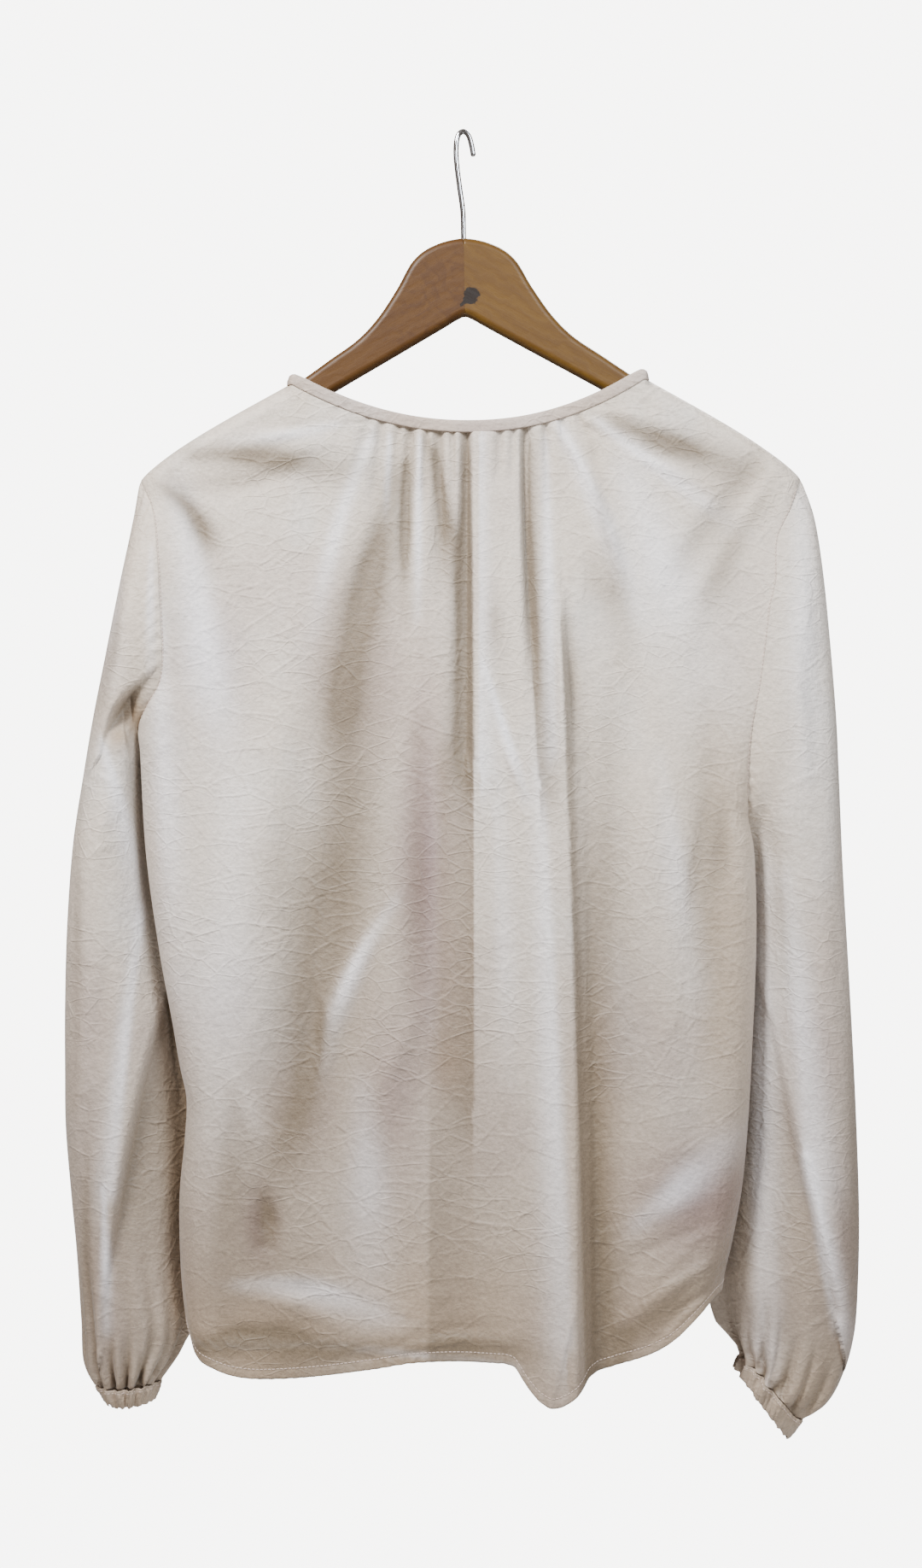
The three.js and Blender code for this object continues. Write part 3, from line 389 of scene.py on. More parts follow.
PAINTED_HIGHLIGHT_STREAKS = table(FOLD_COLUMNS, (
    (55, -208, 57.5, -412, 0, 7, 5, 0.6, 1.0, 0.7),
    (11, -204, 11, -424, 0, 1.5, 9, 0.6, 0.6, 0.7),
    (14, -357, 40, -440, 0, 5, 4, 0.5, 1.0, 0.4),
    (66, -200, 114, -316, 2, 9, 8, 0.8, 0.9, 0.3),
    (92, -196, 178, -262, 0, 7, 8, 0.6, 0.7, 0.2),
    (-29, -206, -30, -322, 0, 4, 3, 0.8, 0.9, 0.3),
    (-49, -204, -52, -270, 0, 3, 3, 0.8, 0.8, 0.2),
    (-62, -206, -98, -330, -4, 7, 7, 0.6, 0.8, 0.2),
    (-86, -196, -150, -206, 2, 5, 5, 0.6, 0.8, 0.2),
    (-186, -250, -154, -430, 0, 20, 16, 0.6, 1.0, 0.3),
    (-202, -330, -190, -560, 0, 12, 14, 0.5, 0.8, 0.3),
    (112, -236, 152, -350, 0, 24, 26, 0.5, 0.8, 0.3),
    (-47, -513, -92, -612, -6, 6, 9, 0.3, 0.9, 0.3),
    (51, -430, 66, -790, 0, 14, 6, 0.6, 0.7, 0.4),
    (22, -450, 30, -620, 0, 8, 12, 0.3, 0.4, 0.1),
    (-150, -470, -160, -640, 0, 30, 30, 0.3, 0.5, 0.2),
    (118, -716, 164, -676, 0, 14, 12, 0.3, 0.7, 0.3),
    (-144, -760, -60, -776, 6, 12, 8, 0.3, 0.7, 0.3),
    (130, -420, 150, -560, 0, 14, 10, 0.2, 0.5, 0.2),
    (-66, -640, -60, -740, 0, 16, 16, 0.2, 0.4, 0.2),
    (-178, -800, 30, -812, 5, 3, 3, 0.5, 0.4, 0.4),
))
# Streaks of painted highlights down the sleeves, drawn as folds are
LEFT_SLEEVE_HIGHLIGHTS = table(FOLD_COLUMNS, (
    (-236, -412, -216, -520, 4, 9, 5, 0.8, 0.8, 0.4),
    (-214, -520, -232, -700, 0, 8, 4, 0.5, 0.8, 0.5),
    (-236, -700, -234, -790, 0, 4, 4, 0.5, 0.9, 0.4),
    (-228, -260, -234, -360, 0, 9, 9, 0.3, 0.5, 0.2),
    (-206, -280, -206, -356, 0, 4, 4, 0.4, 0.7, 0.3),
    (-192, -400, -190, -560, 0, 7, 7, 0.6, 0.9, 0.4),
))
RIGHT_SLEEVE_HIGHLIGHTS = table(FOLD_COLUMNS, (
    (224, -250, 226, -420, 0, 14, 14, 0.4, 0.7, 0.3),
    (212, -500, 230, -690, 0, 8, 14, 0.3, 0.6, 0.6),
    (224, -680, 246, -790, 0, 4, 10, 0.6, 0.9, 0.5),
    (198, -500, 197, -800, 0, 7, 16, 0.4, 0.8, 0.4),
))
# Streaks of painted shade down the sleeves, drawn as folds are
SLEEVE_SHADE_STREAKS = table(FOLD_COLUMNS, (
    (-254, -440, -254, -640, 0, 5, 5, 0.1, 0.3, 0.1),
    (-224, -300, -244, -400, 3, 6, 6, 0.1, 0.35, 0.1),
    (-246, -640, -250, -810, 0, 5, 7, 0.1, 0.4, 0.3),
    (246, -320, 252, -500, 0, 5, 7, 0.1, 0.35, 0.1),
    (256, -560, 262, -780, 0, 8, 5, 0.1, 0.35, 0.3),
    (206, -470, 214, -560, 0, 6, 6, 0.1, 0.3, 0.1),
))

# Sleeves: outer and inner edge of each section, from the armhole to the cuff
SLEEVE_COLUMNS = ("outer_x", "outer_z", "inner_x", "inner_z", "inner_y", "depth")
LEFT_SLEEVE = table(SLEEVE_COLUMNS, (
    (-215, -232, -216, -397, -5, 22), (-221, -262, -218.5, -401, -3, 24),
    (-229.5, -303, -218, -409, 2, 27), (-238, -346, -217, -424, 8, 30),
    (-246, -386, -215, -446, 13, 31), (-252.5, -424, -212.5, -475, 16, 32),
    (-260, -473, -209.5, -510, 18, 33), (-264, -527, -203, -550, 18, 34),
    (-265.5, -580, -194.5, -592, 18, 35), (-265.5, -625, -190.5, -628, 18, 36),
    (-265, -662, -188.5, -660, 18, 36), (-261.5, -704, -187.5, -704, 18, 38),
    (-257, -749, -187, -752, 18, 38), (-253.5, -792, -182, -790, 18, 37),
    (-250.5, -819, -189, -812, 14, 33), (-242, -834, -203.5, -832, 6, 25),
))
LEFT_CUFF_END = (-237, -846, -207, -845, 6, 22)
RIGHT_SLEEVE = table(SLEEVE_COLUMNS, (
    (224.5, -231, 189, -455, -5, 22), (233.5, -255, 192, -458, -3, 25),
    (239, -288, 194, -463, 2, 28), (243.5, -331, 195.5, -473, 8, 30),
    (248, -386, 196, -490, 13, 32), (250, -428, 195.5, -515, 16, 33),
    (252.5, -488, 194.5, -545, 18, 34), (256, -549, 193, -584, 18, 35),
    (259.5, -612, 190.5, -629, 18, 36), (262, -668, 188, -674, 18, 37),
    (263.5, -719, 180, -725, 18, 38), (263, -764, 172.5, -765, 18, 38),
    (260.5, -800, 175, -786, 16, 36), (252.5, -829, 180, -801, 12, 33),
    (241, -848, 185, -810, 8, 30), (225, -858, 188, -816, 6, 27),
))
RIGHT_CUFF_END = (216, -869.5, 182, -825, 6, 24)

LEFT_SLEEVE_FOLDS = table(FOLD_COLUMNS, (
    (-208, -364, -236, -409, -5, 3, 14, 9.0, 14.0, 3.0),
    (-221, -423, -201, -575, -3, 3, 22, 7.0, 9.0, 8.0),
    (-198, -577, -236, -800, -4, 4, 60, 8.0, 13.0, 5.0),
    (-237, -668, -240, -774, 0, 6, 5, 0, 3.5, 1.5),
))
RIGHT_SLEEVE_FOLDS = table(FOLD_COLUMNS, (
    (203, -590, 244, -780, -3, 60, 3.5, 4.0, 9.0, 7.0),
    (228, -300, 234, -520, 0, 14, 14, 0, 3.0, 0),
    (190, -440, 214, -500, 0, 10, 10, 2.0, 3.0, 0),
))
SLEEVE_FRONT_FOLDS = table(FOLD_COLUMNS, (
    (0, -330, 0, -560, 0, 14, 14, 0, 4.0, 0),
    (8, -520, 2, -780, 0, 16, 16, 0, 5.0, 3.0),
))
LEFT_SLEEVE_DRAPES = table(FOLD_COLUMNS, (
    (-208, -300, -238, -360, -4, 8, 8, 0.4, -1.6, 0),
    (-226, -290, -244, -400, 3, 8, 8, 0, 1.6, 0),
    (-232, -430, -256, -520, 3, 9, 9, 0, -1.8, 0),
    (-226, -520, -244, -640, -3, 8, 8, 0, 1.8, 0),
    (-252, -560, -258, -700, 2, 7, 7, 0, -1.4, 0),
    (-246, -690, -250, -800, 0, 6, 6, 0, 1.6, 1.0),
    (-230, -700, -232, -810, 0, 6, 6, 0, -1.6, -1.0),
    (-206, -832, -203, -786, 0, 4, 3, 3.0, 2.4, 0),
    (-214, -834, -213, -776, 0, 3, 4, 3.4, 2.6, 0),
    (-222, -836, -224, -790, 0, 4, 3, 3.0, 2.4, 0),
    (-230, -838, -234, -798, 0, 3, 3, 3.4, 2.4, 0),
    (-237, -838, -243, -800, 0, 3, 3, 2.6, 2.0, 0),
))
RIGHT_SLEEVE_DRAPES = table(FOLD_COLUMNS, (
    (222, -262, 240, -400, 2, 8, 8, 0, 1.6, 0),
    (214, -330, 226, -470, 3, 9, 9, 0, -1.8, 0),
    (240, -470, 250, -640, 2, 9, 9, 0, 1.6, 0),
    (214, -520, 222, -660, 2, 8, 8, 0, -1.5, 0),
    (232, -660, 256, -790, 2, 7, 7, 0, -1.8, -0.6),
    (204, -700, 214, -800, 0, 6, 6, 0, 1.8, 1.0),
    (190, -812, 188, -772, 0, 4, 3, 3.0, 2.4, 0),
    (196, -820, 200, -768, -2, 3, 4, 3.6, 3.0, 0),
    (203, -828, 210, -776, -2, 4, 3, 3.4, 2.8, 0),
    (210, -838, 222, -786, -2, 3, 4, 4.0, 3.2, 0),
    (217, -846, 233, -798, -2, 4, 3, 3.6, 3.0, 0),
    (225, -852, 244, -814, -2, 3, 4, 3.4, 2.6, 0),
))
LEFT_SLEEVE_CREASES = table(CREASE_COLUMNS, (
    (-212, -280, -236, -296, 1, 0.6, 2.2), (-214, -330, -240, -322, 1, 0.6, 2.2),
    (-222, -436, -250, -424, 1, 0.7, 2.2), (-228, -470, -258, -486, 1, 0.6, 2.2),
    (-218, -560, -252, -546, 2, 0.6, 2.2), (-228, -620, -260, -640, 2, 0.6, 2.2),
    (-224, -730, -254, -716, 1, 0.7, 2.2), (-222, -776, -248, -762, 1, 0.7, 2.2),
    (-236, -700, -240, -760, 0, 0.9, 2.0),
))
RIGHT_SLEEVE_CREASES = table(CREASE_COLUMNS, (
    (216, -300, 240, -288, 1, 0.6, 2.2), (214, -360, 242, -376, 1, 0.6, 2.2),
    (206, -440, 240, -424, 1, 0.6, 2.2), (214, -500, 246, -516, 1, 0.6, 2.2),
    (212, -600, 250, -584, 2, 0.6, 2.2), (216, -690, 256, -704, 2, 0.6, 2.2),
    (210, -760, 244, -744, 1, 0.7, 2.2), (214, -800, 250, -780, 1, 0.7, 2.2),
    (216, -677, 229, -681, 0, 1.4, 2.6),
))

# Half the hanger's outline, measured from the crest before it is tilted
HANGER_TOP = ((20, -4.5), (34, -14.5), (45, -33), (58, -52), (72, -66.5), (90, -79), (111, -93.5),
              (134, -108), (156, -121.5), (180, -136), (196, -147))
HANGER_UNDERSIDE = ((188, -161), (143, -133), (92, -103), (46, -77), (16, -60), (5, -53.6))
HANGER_APEX_Z = -51.8
HANGER_CREST_Z = -70.3
HANGER_TILT = 1.0
HANGER_THICK = 12
HANGER_EDGE_RADIUS = 4.5
GLUE_GAP = 0.03
HOOK_PATH = ((0.4, -92.3), (0, -70.3), (-0.5, -52), (-2.6, -36), (-4.6, -20), (-5, -9),
             (-3.6, -1.2), (0, 1.5), (3.4, -1.4), (5.4, -8), (6.6, -15.4))
WIRE_RADIUS = 1.75


def mix(a, b, t):
    return a + (b - a) * t


def hermite(a, b, slope_a, slope_b, t):
    t2 = t * t
    t3 = t2 * t
    return (a * (2 * t3 - 3 * t2 + 1) + b * (3 * t2 - 2 * t3)
            + slope_a * (t3 - 2 * t2 + t) + slope_b * (t3 - t2))


def look_up(rows, along, value, at):
    """Value of one column at places along another, by a smooth curve through the rows."""
    keys = rows[along]
    values = rows[value]
    last = len(keys) - 1
    order = np.sign(keys[-1] - keys[0])
    k = np.clip(np.searchsorted(order * keys, order * at, side="right") - 1, 0, last - 1)
    before = np.maximum(np.arange(last + 1) - 1, 0)
    after = np.minimum(np.arange(last + 1) + 1, last)
    slopes = (values[after] - values[before]) / (keys[after] - keys[before])
    span = keys[k + 1] - keys[k]
    t = np.clip((at - keys[k]) / span, 0, 1)
    return hermite(values[k], values[k + 1], slopes[k] * span, slopes[k + 1] * span, t)


def along_line(x, z, start_x, start_z, end_x, end_z, bow):
    """Share along a bowed line, distance past its ends and signed distance from it."""
    line_x = end_x - start_x
    line_z = end_z - start_z
    length = np.hypot(line_x, line_z)
    dx = x - start_x
    dz = z - start_z
    along = (dx * line_x + dz * line_z) / length
    share = np.clip(along / length, 0, 1)
    across = (dz * line_x - dx * line_z) / length - bow * 4 * share * (1 - share)
    return share, along - share * length, across


def fold_depth(folds, x, z):
    depth = np.zeros(np.broadcast(x, z).shape)
    for row in zip(*(folds[name] for name in FOLD_COLUMNS)):
        width, far_width, start, middle, end = row[5:]
        share, beyond, across = along_line(x, z, *row[:5])
        reach = np.where(across < 0, width, far_width) * (0.5 + 0.5 * share)
        outer = np.where(share < 0.5, start, end)
        amount = mix(outer, middle, np.sin(np.pi * share) ** 2)
        depth += amount * np.exp(-((across / reach) ** 2) - (beyond / (2 * reach)) ** 2)
    return depth


def crease_depth(creases, x, z):
    """Crisp pinches that stand up from the cloth, each with a faint trough on either side."""
    depth = np.zeros(np.broadcast(x, z).shape)
    for row in zip(*(creases[name] for name in CREASE_COLUMNS)):
        height, width = row[5:]
        share, beyond, across = along_line(x, z, *row[:5])
        sharp = np.exp(-np.abs(across) / width) - 0.35 * np.exp(-(across / (2.6 * width)) ** 2)
        fade = np.sin(np.pi * np.clip(share, 0.02, 0.98)) ** 0.6 * np.exp(-(beyond / width) ** 2)
        depth -= 2.1 * height * sharp * fade
    return depth


def ripple(at, spacing, phase):
    """Uneven ripple with about one wave in each spacing."""
    wander = 1.7 * np.sin(at / (2.3 * spacing) + phase) + 0.8 * np.sin(at / (0.9 * spacing) + 3 * phase)
    swell = 0.62 + 0.38 * np.sin(at / (1.9 * spacing) + 2 * phase)
    return np.sin(at * TAU / spacing + wander) * swell


def roll_in(across, roll):
    """Near its side a panel turns over a quarter of an ellipse."""
    share = 1.5 * roll
    side = np.minimum(across, 1 - across)
    angle = np.pi / 2 * np.clip(side / share, 0, 1)
    inner = roll + (side - share) * (1 - 2 * roll) / (1 - 2 * share)
    place = np.where(side < share, roll * (1 - np.cos(angle)), inner)
    return np.where(across > 0.5, 1 - place, place), np.sin(angle)


def shoulder_z(tip, neck, t):
    return mix(tip[1], neck[1], t) + 5 * np.sin(np.pi * t ** 0.6)


def back_neckline(t):
    corner = mix(LEFT_NECK[1], RIGHT_NECK[1], t)
    return mix(BACK_NECK_Z, corner, np.abs(2 * t - 1) ** 2.1)


def front_neckline(t):
    middle = (V_POINT[0] - LEFT_NECK[0]) / (RIGHT_NECK[0] - LEFT_NECK[0])
    side = np.where(t < middle, (t - middle) / middle, (t - middle) / (1 - middle))
    corner = mix(LEFT_NECK[1], RIGHT_NECK[1], t)
    rise = np.sqrt(side ** 2 + V_SOFTNESS ** 2) - V_SOFTNESS
    return mix(V_POINT[1], corner, rise / (np.sqrt(1 + V_SOFTNESS ** 2) - V_SOFTNESS))


class Panel:
    """A body panel between the side outlines, its top edge and its hem."""

    def __init__(self, side, fullness, side_roll, neckline, hem, folds, creases):
        self.side = side
        self.fullness = fullness
        self.roll = side_roll / BODY_WIDTH
        self.neckline = neckline
        self.hem = hem
        self.folds = folds
        self.creases = creases

    def top_edge(self, place):
        start, stop = NECK_FRACTIONS
        left = np.clip(place / start, 0, 1)
        right = np.clip((1 - place) / (1 - stop), 0, 1)
        t = np.clip((place - start) / (stop - start), 0, 1)
        share = NECK_WRAP / (RIGHT_NECK[0] - LEFT_NECK[0])
        over_wood = np.clip(np.minimum(t, 1 - t) / share, 0, 1)
        neck_z = self.neckline(np.clip((t - share) / (1 - 2 * share), 0, 1))
        fullness = look_up(FULLNESS, "z", self.fullness, neck_z)
        neck_y = self.side * fullness * np.sqrt(1 - (1 - over_wood) ** 2)
        parts = (place <= start, place >= stop)
        x = np.select(parts, (mix(LEFT_TIP[0], LEFT_NECK[0], left), mix(RIGHT_TIP[0], RIGHT_NECK[0], right)),
                      mix(LEFT_NECK[0], RIGHT_NECK[0], t))
        y = np.select(parts, (0, 0), neck_y)
        shoulders = (shoulder_z(LEFT_TIP, LEFT_NECK, left), shoulder_z(RIGHT_TIP, RIGHT_NECK, right))
        return x, y, np.select(parts, shoulders, neck_z)

    def side_edge_y(self, z, tip_z, underarm_z):
        place = np.clip((z - tip_z) / (underarm_z - tip_z), 0, 1)
        bulge = np.sin(np.pi * place) ** 0.6
        return self.side * ARMHOLE_DEPTH * bulge + SIDE_SEAM_Y * place ** 3

    def point(self, across, down):
        place, side_turn = roll_in(across, self.roll)
        over = np.pi / 2 * np.clip(down / RIDGE_SHARE, 0, 1)
        top_turn = np.sin(over)
        drop = np.where(down < RIDGE_SHARE, RIDGE_DROP * (1 - np.cos(over)),
                        mix(RIDGE_DROP, 1, (down - RIDGE_SHARE) / (1 - RIDGE_SHARE)))
        top_x, top_y, top_z = self.top_edge(place)
        hem_x = mix(LEFT_SEAM_END[0], RIGHT_SEAM_END[0], place)
        hem_z = look_up(self.hem, "x", "z", hem_x)
        left_z = mix(LEFT_TIP[1], LEFT_SEAM_END[1], drop)
        right_z = mix(RIGHT_TIP[1], RIGHT_SEAM_END[1], drop)
        left_bulge = look_up(LEFT_SIDE, "z", "x", left_z) - mix(LEFT_TIP[0], LEFT_SEAM_END[0], drop)
        right_bulge = look_up(RIGHT_SIDE, "z", "x", right_z) - mix(RIGHT_TIP[0], RIGHT_SEAM_END[0], drop)
        x = mix(top_x, hem_x, drop) + mix(left_bulge, right_bulge, place)
        z = mix(top_z, hem_z, drop)
        depth = sum(fold_depth(folds, x, z) for folds in self.folds) + crease_depth(self.creases, x, z)
        depth = depth * top_turn ** 0.6 * side_turn + self.hem_relief(x, z - hem_z)
        plane = self.side * look_up(FULLNESS, "z", self.fullness, z)
        side_y = np.where(across < 0.5, self.side_edge_y(left_z, LEFT_TIP[1], LEFT_UNDERARM_Z),
                          self.side_edge_y(right_z, RIGHT_TIP[1], RIGHT_UNDERARM_Z))
        y = mix(side_y, mix(top_y, plane, top_turn), side_turn) + self.side * (SEAM_INSET - depth)
        return np.stack(np.broadcast_arrays(x, y, z), axis=-1)

    def hem_relief(self, x, height):
        """Depth of the turned hem: a raised band, a stitched groove and puckers above it."""
        band = -0.45 / (1 + np.exp(np.minimum((height - HEM_HEIGHT) * 2.5, 60)))
        groove = 0.35 * np.exp(-((height - HEM_HEIGHT) / 0.8) ** 2)
        puckers = 0.75 * ripple(x, 6.5, 0.7 * self.side) * np.exp(-(height / 8.5) ** 2)
        return band + groove + puckers


def deepened(folds, share):
    return {name: values * share if name in ("start", "middle", "end") else values
            for name, values in folds.items()}


HEM_HEIGHT = 5.5
BACK = Panel(-1, "back", BACK_SIDE_ROLL, back_neckline, BACK_HEM,
             (NECK_GATHERS, BACK_FOLDS, deepened(BACK_DRAPES, 1.6)), BACK_CREASES)
FRONT = Panel(1, "front", FRONT_SIDE_ROLL, front_neckline, FRONT_HEM,
              (FRONT_FOLDS, deepened(FRONT_DRAPES, 1.5)), FRONT_CREASES)


def column_at(panel, place):
    share = 1.5 * panel.roll
    return share + (place - panel.roll) * (1 - 2 * share) / (1 - 2 * panel.roll)


def panel_columns(panel, middle, counts):
    """Columns from side to side, with a count for each run between the places that matter."""
    neck_from, neck_to = NECK_FRACTIONS
    places = (panel.roll, neck_from, middle[0], middle[1], neck_to, 1 - panel.roll)
    stops = [0, *(column_at(panel, place) for place in places), 1]
    runs = [np.linspace(stops[k], stops[k + 1], count, endpoint=False) for k, count in enumerate(counts)]
    return np.append(np.concatenate(runs), 1.0)


def panel_rows(count):
    ridge = np.linspace(0, RIDGE_SHARE, RIDGE_ROWS, endpoint=False)
    hem_start = 1 - 9 / BODY_HEIGHT
    body = mix(RIDGE_SHARE, hem_start, np.linspace(0, 1, count, endpoint=False) ** 1.05)
    hem = np.linspace(hem_start, 1, HEM_ROWS + 1)
    return np.concatenate([ridge, body, hem])


class Sleeve:
    """A sleeve's sections, folds and armhole."""

    def __init__(self, sections, cuff_end, folds, creases, brown, tip_z, underarm_z, outward, middle_x):
        self.sections = sections
        self.cuff_end = cuff_end
        self.folds = folds
        self.creases = creases
        self.brown = brown
        self.tip_z = tip_z
        self.underarm_z = underarm_z
        self.outward = outward
        self.middle_x = middle_x

    def section(self, along):
        rows = self.sections
        last = len(rows["depth"]) - 1
        k = np.minimum((along * last).astype(int), last - 1)
        t = along * last - k
        found = {}
        for name in SLEEVE_COLUMNS:
            values = rows[name]
            a, b = values[k], values[k + 1]
            before, after = values[np.maximum(k - 1, 0)], values[np.minimum(k + 2, last)]
            found[name] = hermite(a, b, (b - before) / 2, (after - a) / 2, t)
        return found

    def point(self, along, angle):
        rows = self.section(along)
        to_outer = (1 + np.cos(angle)) / 2
        x = mix(rows["inner_x"], rows["outer_x"], to_outer)
        y = rows["inner_y"] * (1 - to_outer) - rows["depth"] * np.sin(angle)
        z = mix(rows["inner_z"], rows["outer_z"], to_outer)
        fade = (1 - np.clip(along / 0.14, 0, 1)) ** 2
        hole_z = mix(self.tip_z, self.underarm_z, 1 - to_outer)
        edge_x, edge_y = self.armhole(angle, hole_z)
        first = {name: values[0] for name, values in self.sections.items()}
        x = x + fade * (edge_x - mix(first["inner_x"], first["outer_x"], to_outer))
        y = y + fade * (edge_y - first["inner_y"] * (1 - to_outer) + first["depth"] * np.sin(angle))
        z = z + fade * (hole_z - mix(first["inner_z"], first["outer_z"], to_outer))
        behind = sum(fold_depth(folds, x, z) for folds in self.folds) + crease_depth(self.creases, x, z)
        before = -fold_depth(SLEEVE_FRONT_FOLDS, x - self.middle_x, z)
        settled = np.clip(along * 8, 0, 1)
        folded = np.where(np.sin(angle) > 0, behind, before) * np.abs(np.sin(angle)) ** 0.5 * settled
        head = 0.8 * ripple(hole_z, 8.5, 1.3) * np.exp(-((along - 0.012) / 0.03) ** 2)
        head = head * np.minimum(along / 0.01, 1)
        gathered = self.gathers(along, angle)
        tucked = 8 * np.exp(-((angle - np.pi) / 0.22) ** 2) * np.clip((along - 0.025) / 0.05, 0, 1)
        tucked = tucked * np.clip((0.92 - along) / 0.08, 0, 1)
        y = y + folded + (gathered + head) * np.sin(angle)
        x = x - ((gathered + head) * np.cos(angle) + tucked) * self.outward
        return np.stack(np.broadcast_arrays(x, y, z), axis=-1)

    def gathers(self, along, angle):
        """Depth of the gathers that run up from the cuff."""
        near = np.clip((along - 0.78) / 0.22, 0, 1) ** 1.2
        far = np.clip((along - 0.64) / 0.36, 0, 1) ** 1.8
        return (3.6 * near * ripple(angle * 30, 11.2, 0.9 + self.outward)
                + 2.4 * far * ripple(angle * 30, 19.0, 2.1 + self.outward))

    def armhole(self, angle, z):
        """Place on the panels' side edges, the back's on one half of the ring."""
        downs = np.linspace(0, 1, 400)
        column = 0.0 if self.outward < 0 else 1.0
        edges = [panel.point(np.array(column), downs)[::-1] for panel in (BACK, FRONT)]
        found = [[np.interp(z, edge[:, 2], edge[:, axis]) for axis in (0, 1)] for edge in edges]
        behind = np.sin(angle) >= 0
        return np.where(behind, found[0][0], found[1][0]), np.where(behind, found[0][1], found[1][1])

    def cuff_point(self, along, angle):
        start = [self.sections[name][-1] for name in SLEEVE_COLUMNS]
        rows = dict(zip(SLEEVE_COLUMNS, (mix(a, b, along) for a, b in zip(start, self.cuff_end))))
        to_outer = (1 + np.cos(angle)) / 2
        swell = 0.9 * np.sin(np.pi * along) ** 0.6
        ruffle = swell - 0.8 * self.gathers(1.0, angle) * (1 - 0.4 * along) ** 2
        ruffle = ruffle + 1.0 * ripple(angle * 30 + 5 * along, 4.1, 0.4)
        x = mix(rows["inner_x"], rows["outer_x"], to_outer) + ruffle * np.cos(angle) * self.outward
        y = rows["inner_y"] * (1 - to_outer) - rows["depth"] * np.sin(angle) - ruffle * np.sin(angle)
        z = mix(rows["inner_z"], rows["outer_z"], to_outer) + along * ripple(angle * 30, 9.0, 0.3)
        return np.stack(np.broadcast_arrays(x, y, z), axis=-1)


LEFT_ARM = Sleeve(LEFT_SLEEVE, LEFT_CUFF_END, (LEFT_SLEEVE_FOLDS, LEFT_SLEEVE_DRAPES), LEFT_SLEEVE_CREASES,
                  LEFT_SLEEVE_SHADE_PATCHES, LEFT_TIP[1], LEFT_UNDERARM_Z, -1, -228)
RIGHT_ARM = Sleeve(RIGHT_SLEEVE, RIGHT_CUFF_END, (RIGHT_SLEEVE_FOLDS, RIGHT_SLEEVE_DRAPES),
                   RIGHT_SLEEVE_CREASES, RIGHT_SLEEVE_SHADE_PATCHES, RIGHT_TIP[1], RIGHT_UNDERARM_Z, 1, 226)


def mesh_object(name, points, faces):
    mesh = bpy.data.meshes.new(name)
    mesh.from_pydata((np.asarray(points) * MM).tolist(), [], faces)
    mesh.update()
    mesh.shade_smooth()
    piece = bpy.data.objects.new(name, mesh)
    bpy.context.scene.collection.objects.link(piece)
    return piece


def grid_faces(rows, columns, joined=False, flipped=False):
    index = np.arange(rows * columns).reshape(rows, columns)
    if joined:
        index = np.concatenate([index, index[:, :1]], axis=1)
    corners = [index[:-1, :-1], index[1:, :-1], index[1:, 1:], index[:-1, 1:]]
    if flipped:
        corners.reverse()
    return np.stack(corners, axis=-1).reshape(-1, 4).tolist()


def paint(piece, points, folds=(), patches=(), streaks=(), deepest=TROUGH_DEPTH, gathers=0.0):
    """Stores at each point the painted shade of the troughs, gathers and dark streaks, the rosy patches (dye
    and painted shade), the brown patches (painted shade, an even tone on the binding) and the painted
    highlights.
    """
    x = points[..., 0].ravel()
    z = points[..., 2].ravel()
    depth = sum((fold_depth(rows, x, z) for rows in folds), np.zeros(x.shape))
    trough = 0.85 * np.clip(depth / deepest, 0, 1) ** 1.3 + np.ravel(np.clip(gathers, 0, 1))
    drawn = [np.clip(fold_depth(rows, x, z), 0, 1) for rows in streaks]
    if drawn:
        trough = trough + 1.3 * drawn[0]
    layers = [np.clip(trough, 0, 1)]
    for spots in patches:
        amount = np.zeros(x.shape)
        for row in zip(*(spots[name] for name in PATCH_COLUMNS)):
            away = ((x - row[0]) / row[2]) ** 2 + ((z - row[1]) / row[3]) ** 2
            amount = np.maximum(amount, row[4] * np.exp(-away))
        layers.append(amount)
    layers += drawn[1:]
    for name, values in zip(PAINT_LAYERS, layers):
        held = piece.data.attributes.new(name, "FLOAT", "POINT")
        held.data.foreach_set("value", values.astype(np.float32))


def cloth_piece(name, points, joined=False, flipped=False, **shading):
    """A thin shell about a grid of points, with its outside finish and, inside, a darker copy of it as painted
    shade.
    """
    rows, columns = points.shape[:2]
    piece = mesh_object(name, points.reshape(-1, 3), grid_faces(rows, columns, joined, flipped))
    paint(piece, points, **shading)
    piece.data.materials.append(cloth_material("cloth_outside", False))
    piece.data.materials.append(cloth_material("cloth_inside_shaded", True))
    shell = piece.modifiers.new("shell", "SOLIDIFY")
    shell.thickness = bpy.context.scene.blouse_cloth.thickness
    shell.offset = 0
    shell.material_offset = 1
    return settle(piece)


def settle(piece):
    """Applies the piece's modifiers."""
    depsgraph = bpy.context.evaluated_depsgraph_get()
    done = bpy.data.meshes.new_from_object(piece.evaluated_get(depsgraph))
    old = piece.data
    piece.modifiers.clear()
    piece.data = done
    done.name = piece.name
    bpy.data.meshes.remove(old)
    return piece


def sew_in(piece, node):
    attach(piece, "root")
    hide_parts(node)


# Shader nodes

def new_group(name, inputs, outputs):
    group = bpy.data.node_groups.new(name, "ShaderNodeTree")
    for label, kind, default in inputs:
        socket = group.interface.new_socket(label, in_out="INPUT", socket_type=kind)
        if default is not None:
            socket.default_value = default
    for label, kind in outputs:
        group.interface.new_socket(label, in_out="OUTPUT", socket_type=kind)
    return group, group.nodes.new("NodeGroupInput"), group.nodes.new("NodeGroupOutput")


def add_node(tree, kind, **values):
    node = tree.nodes.new(kind)
    for name, value in values.items():
        setattr(node, name, value)
    return node


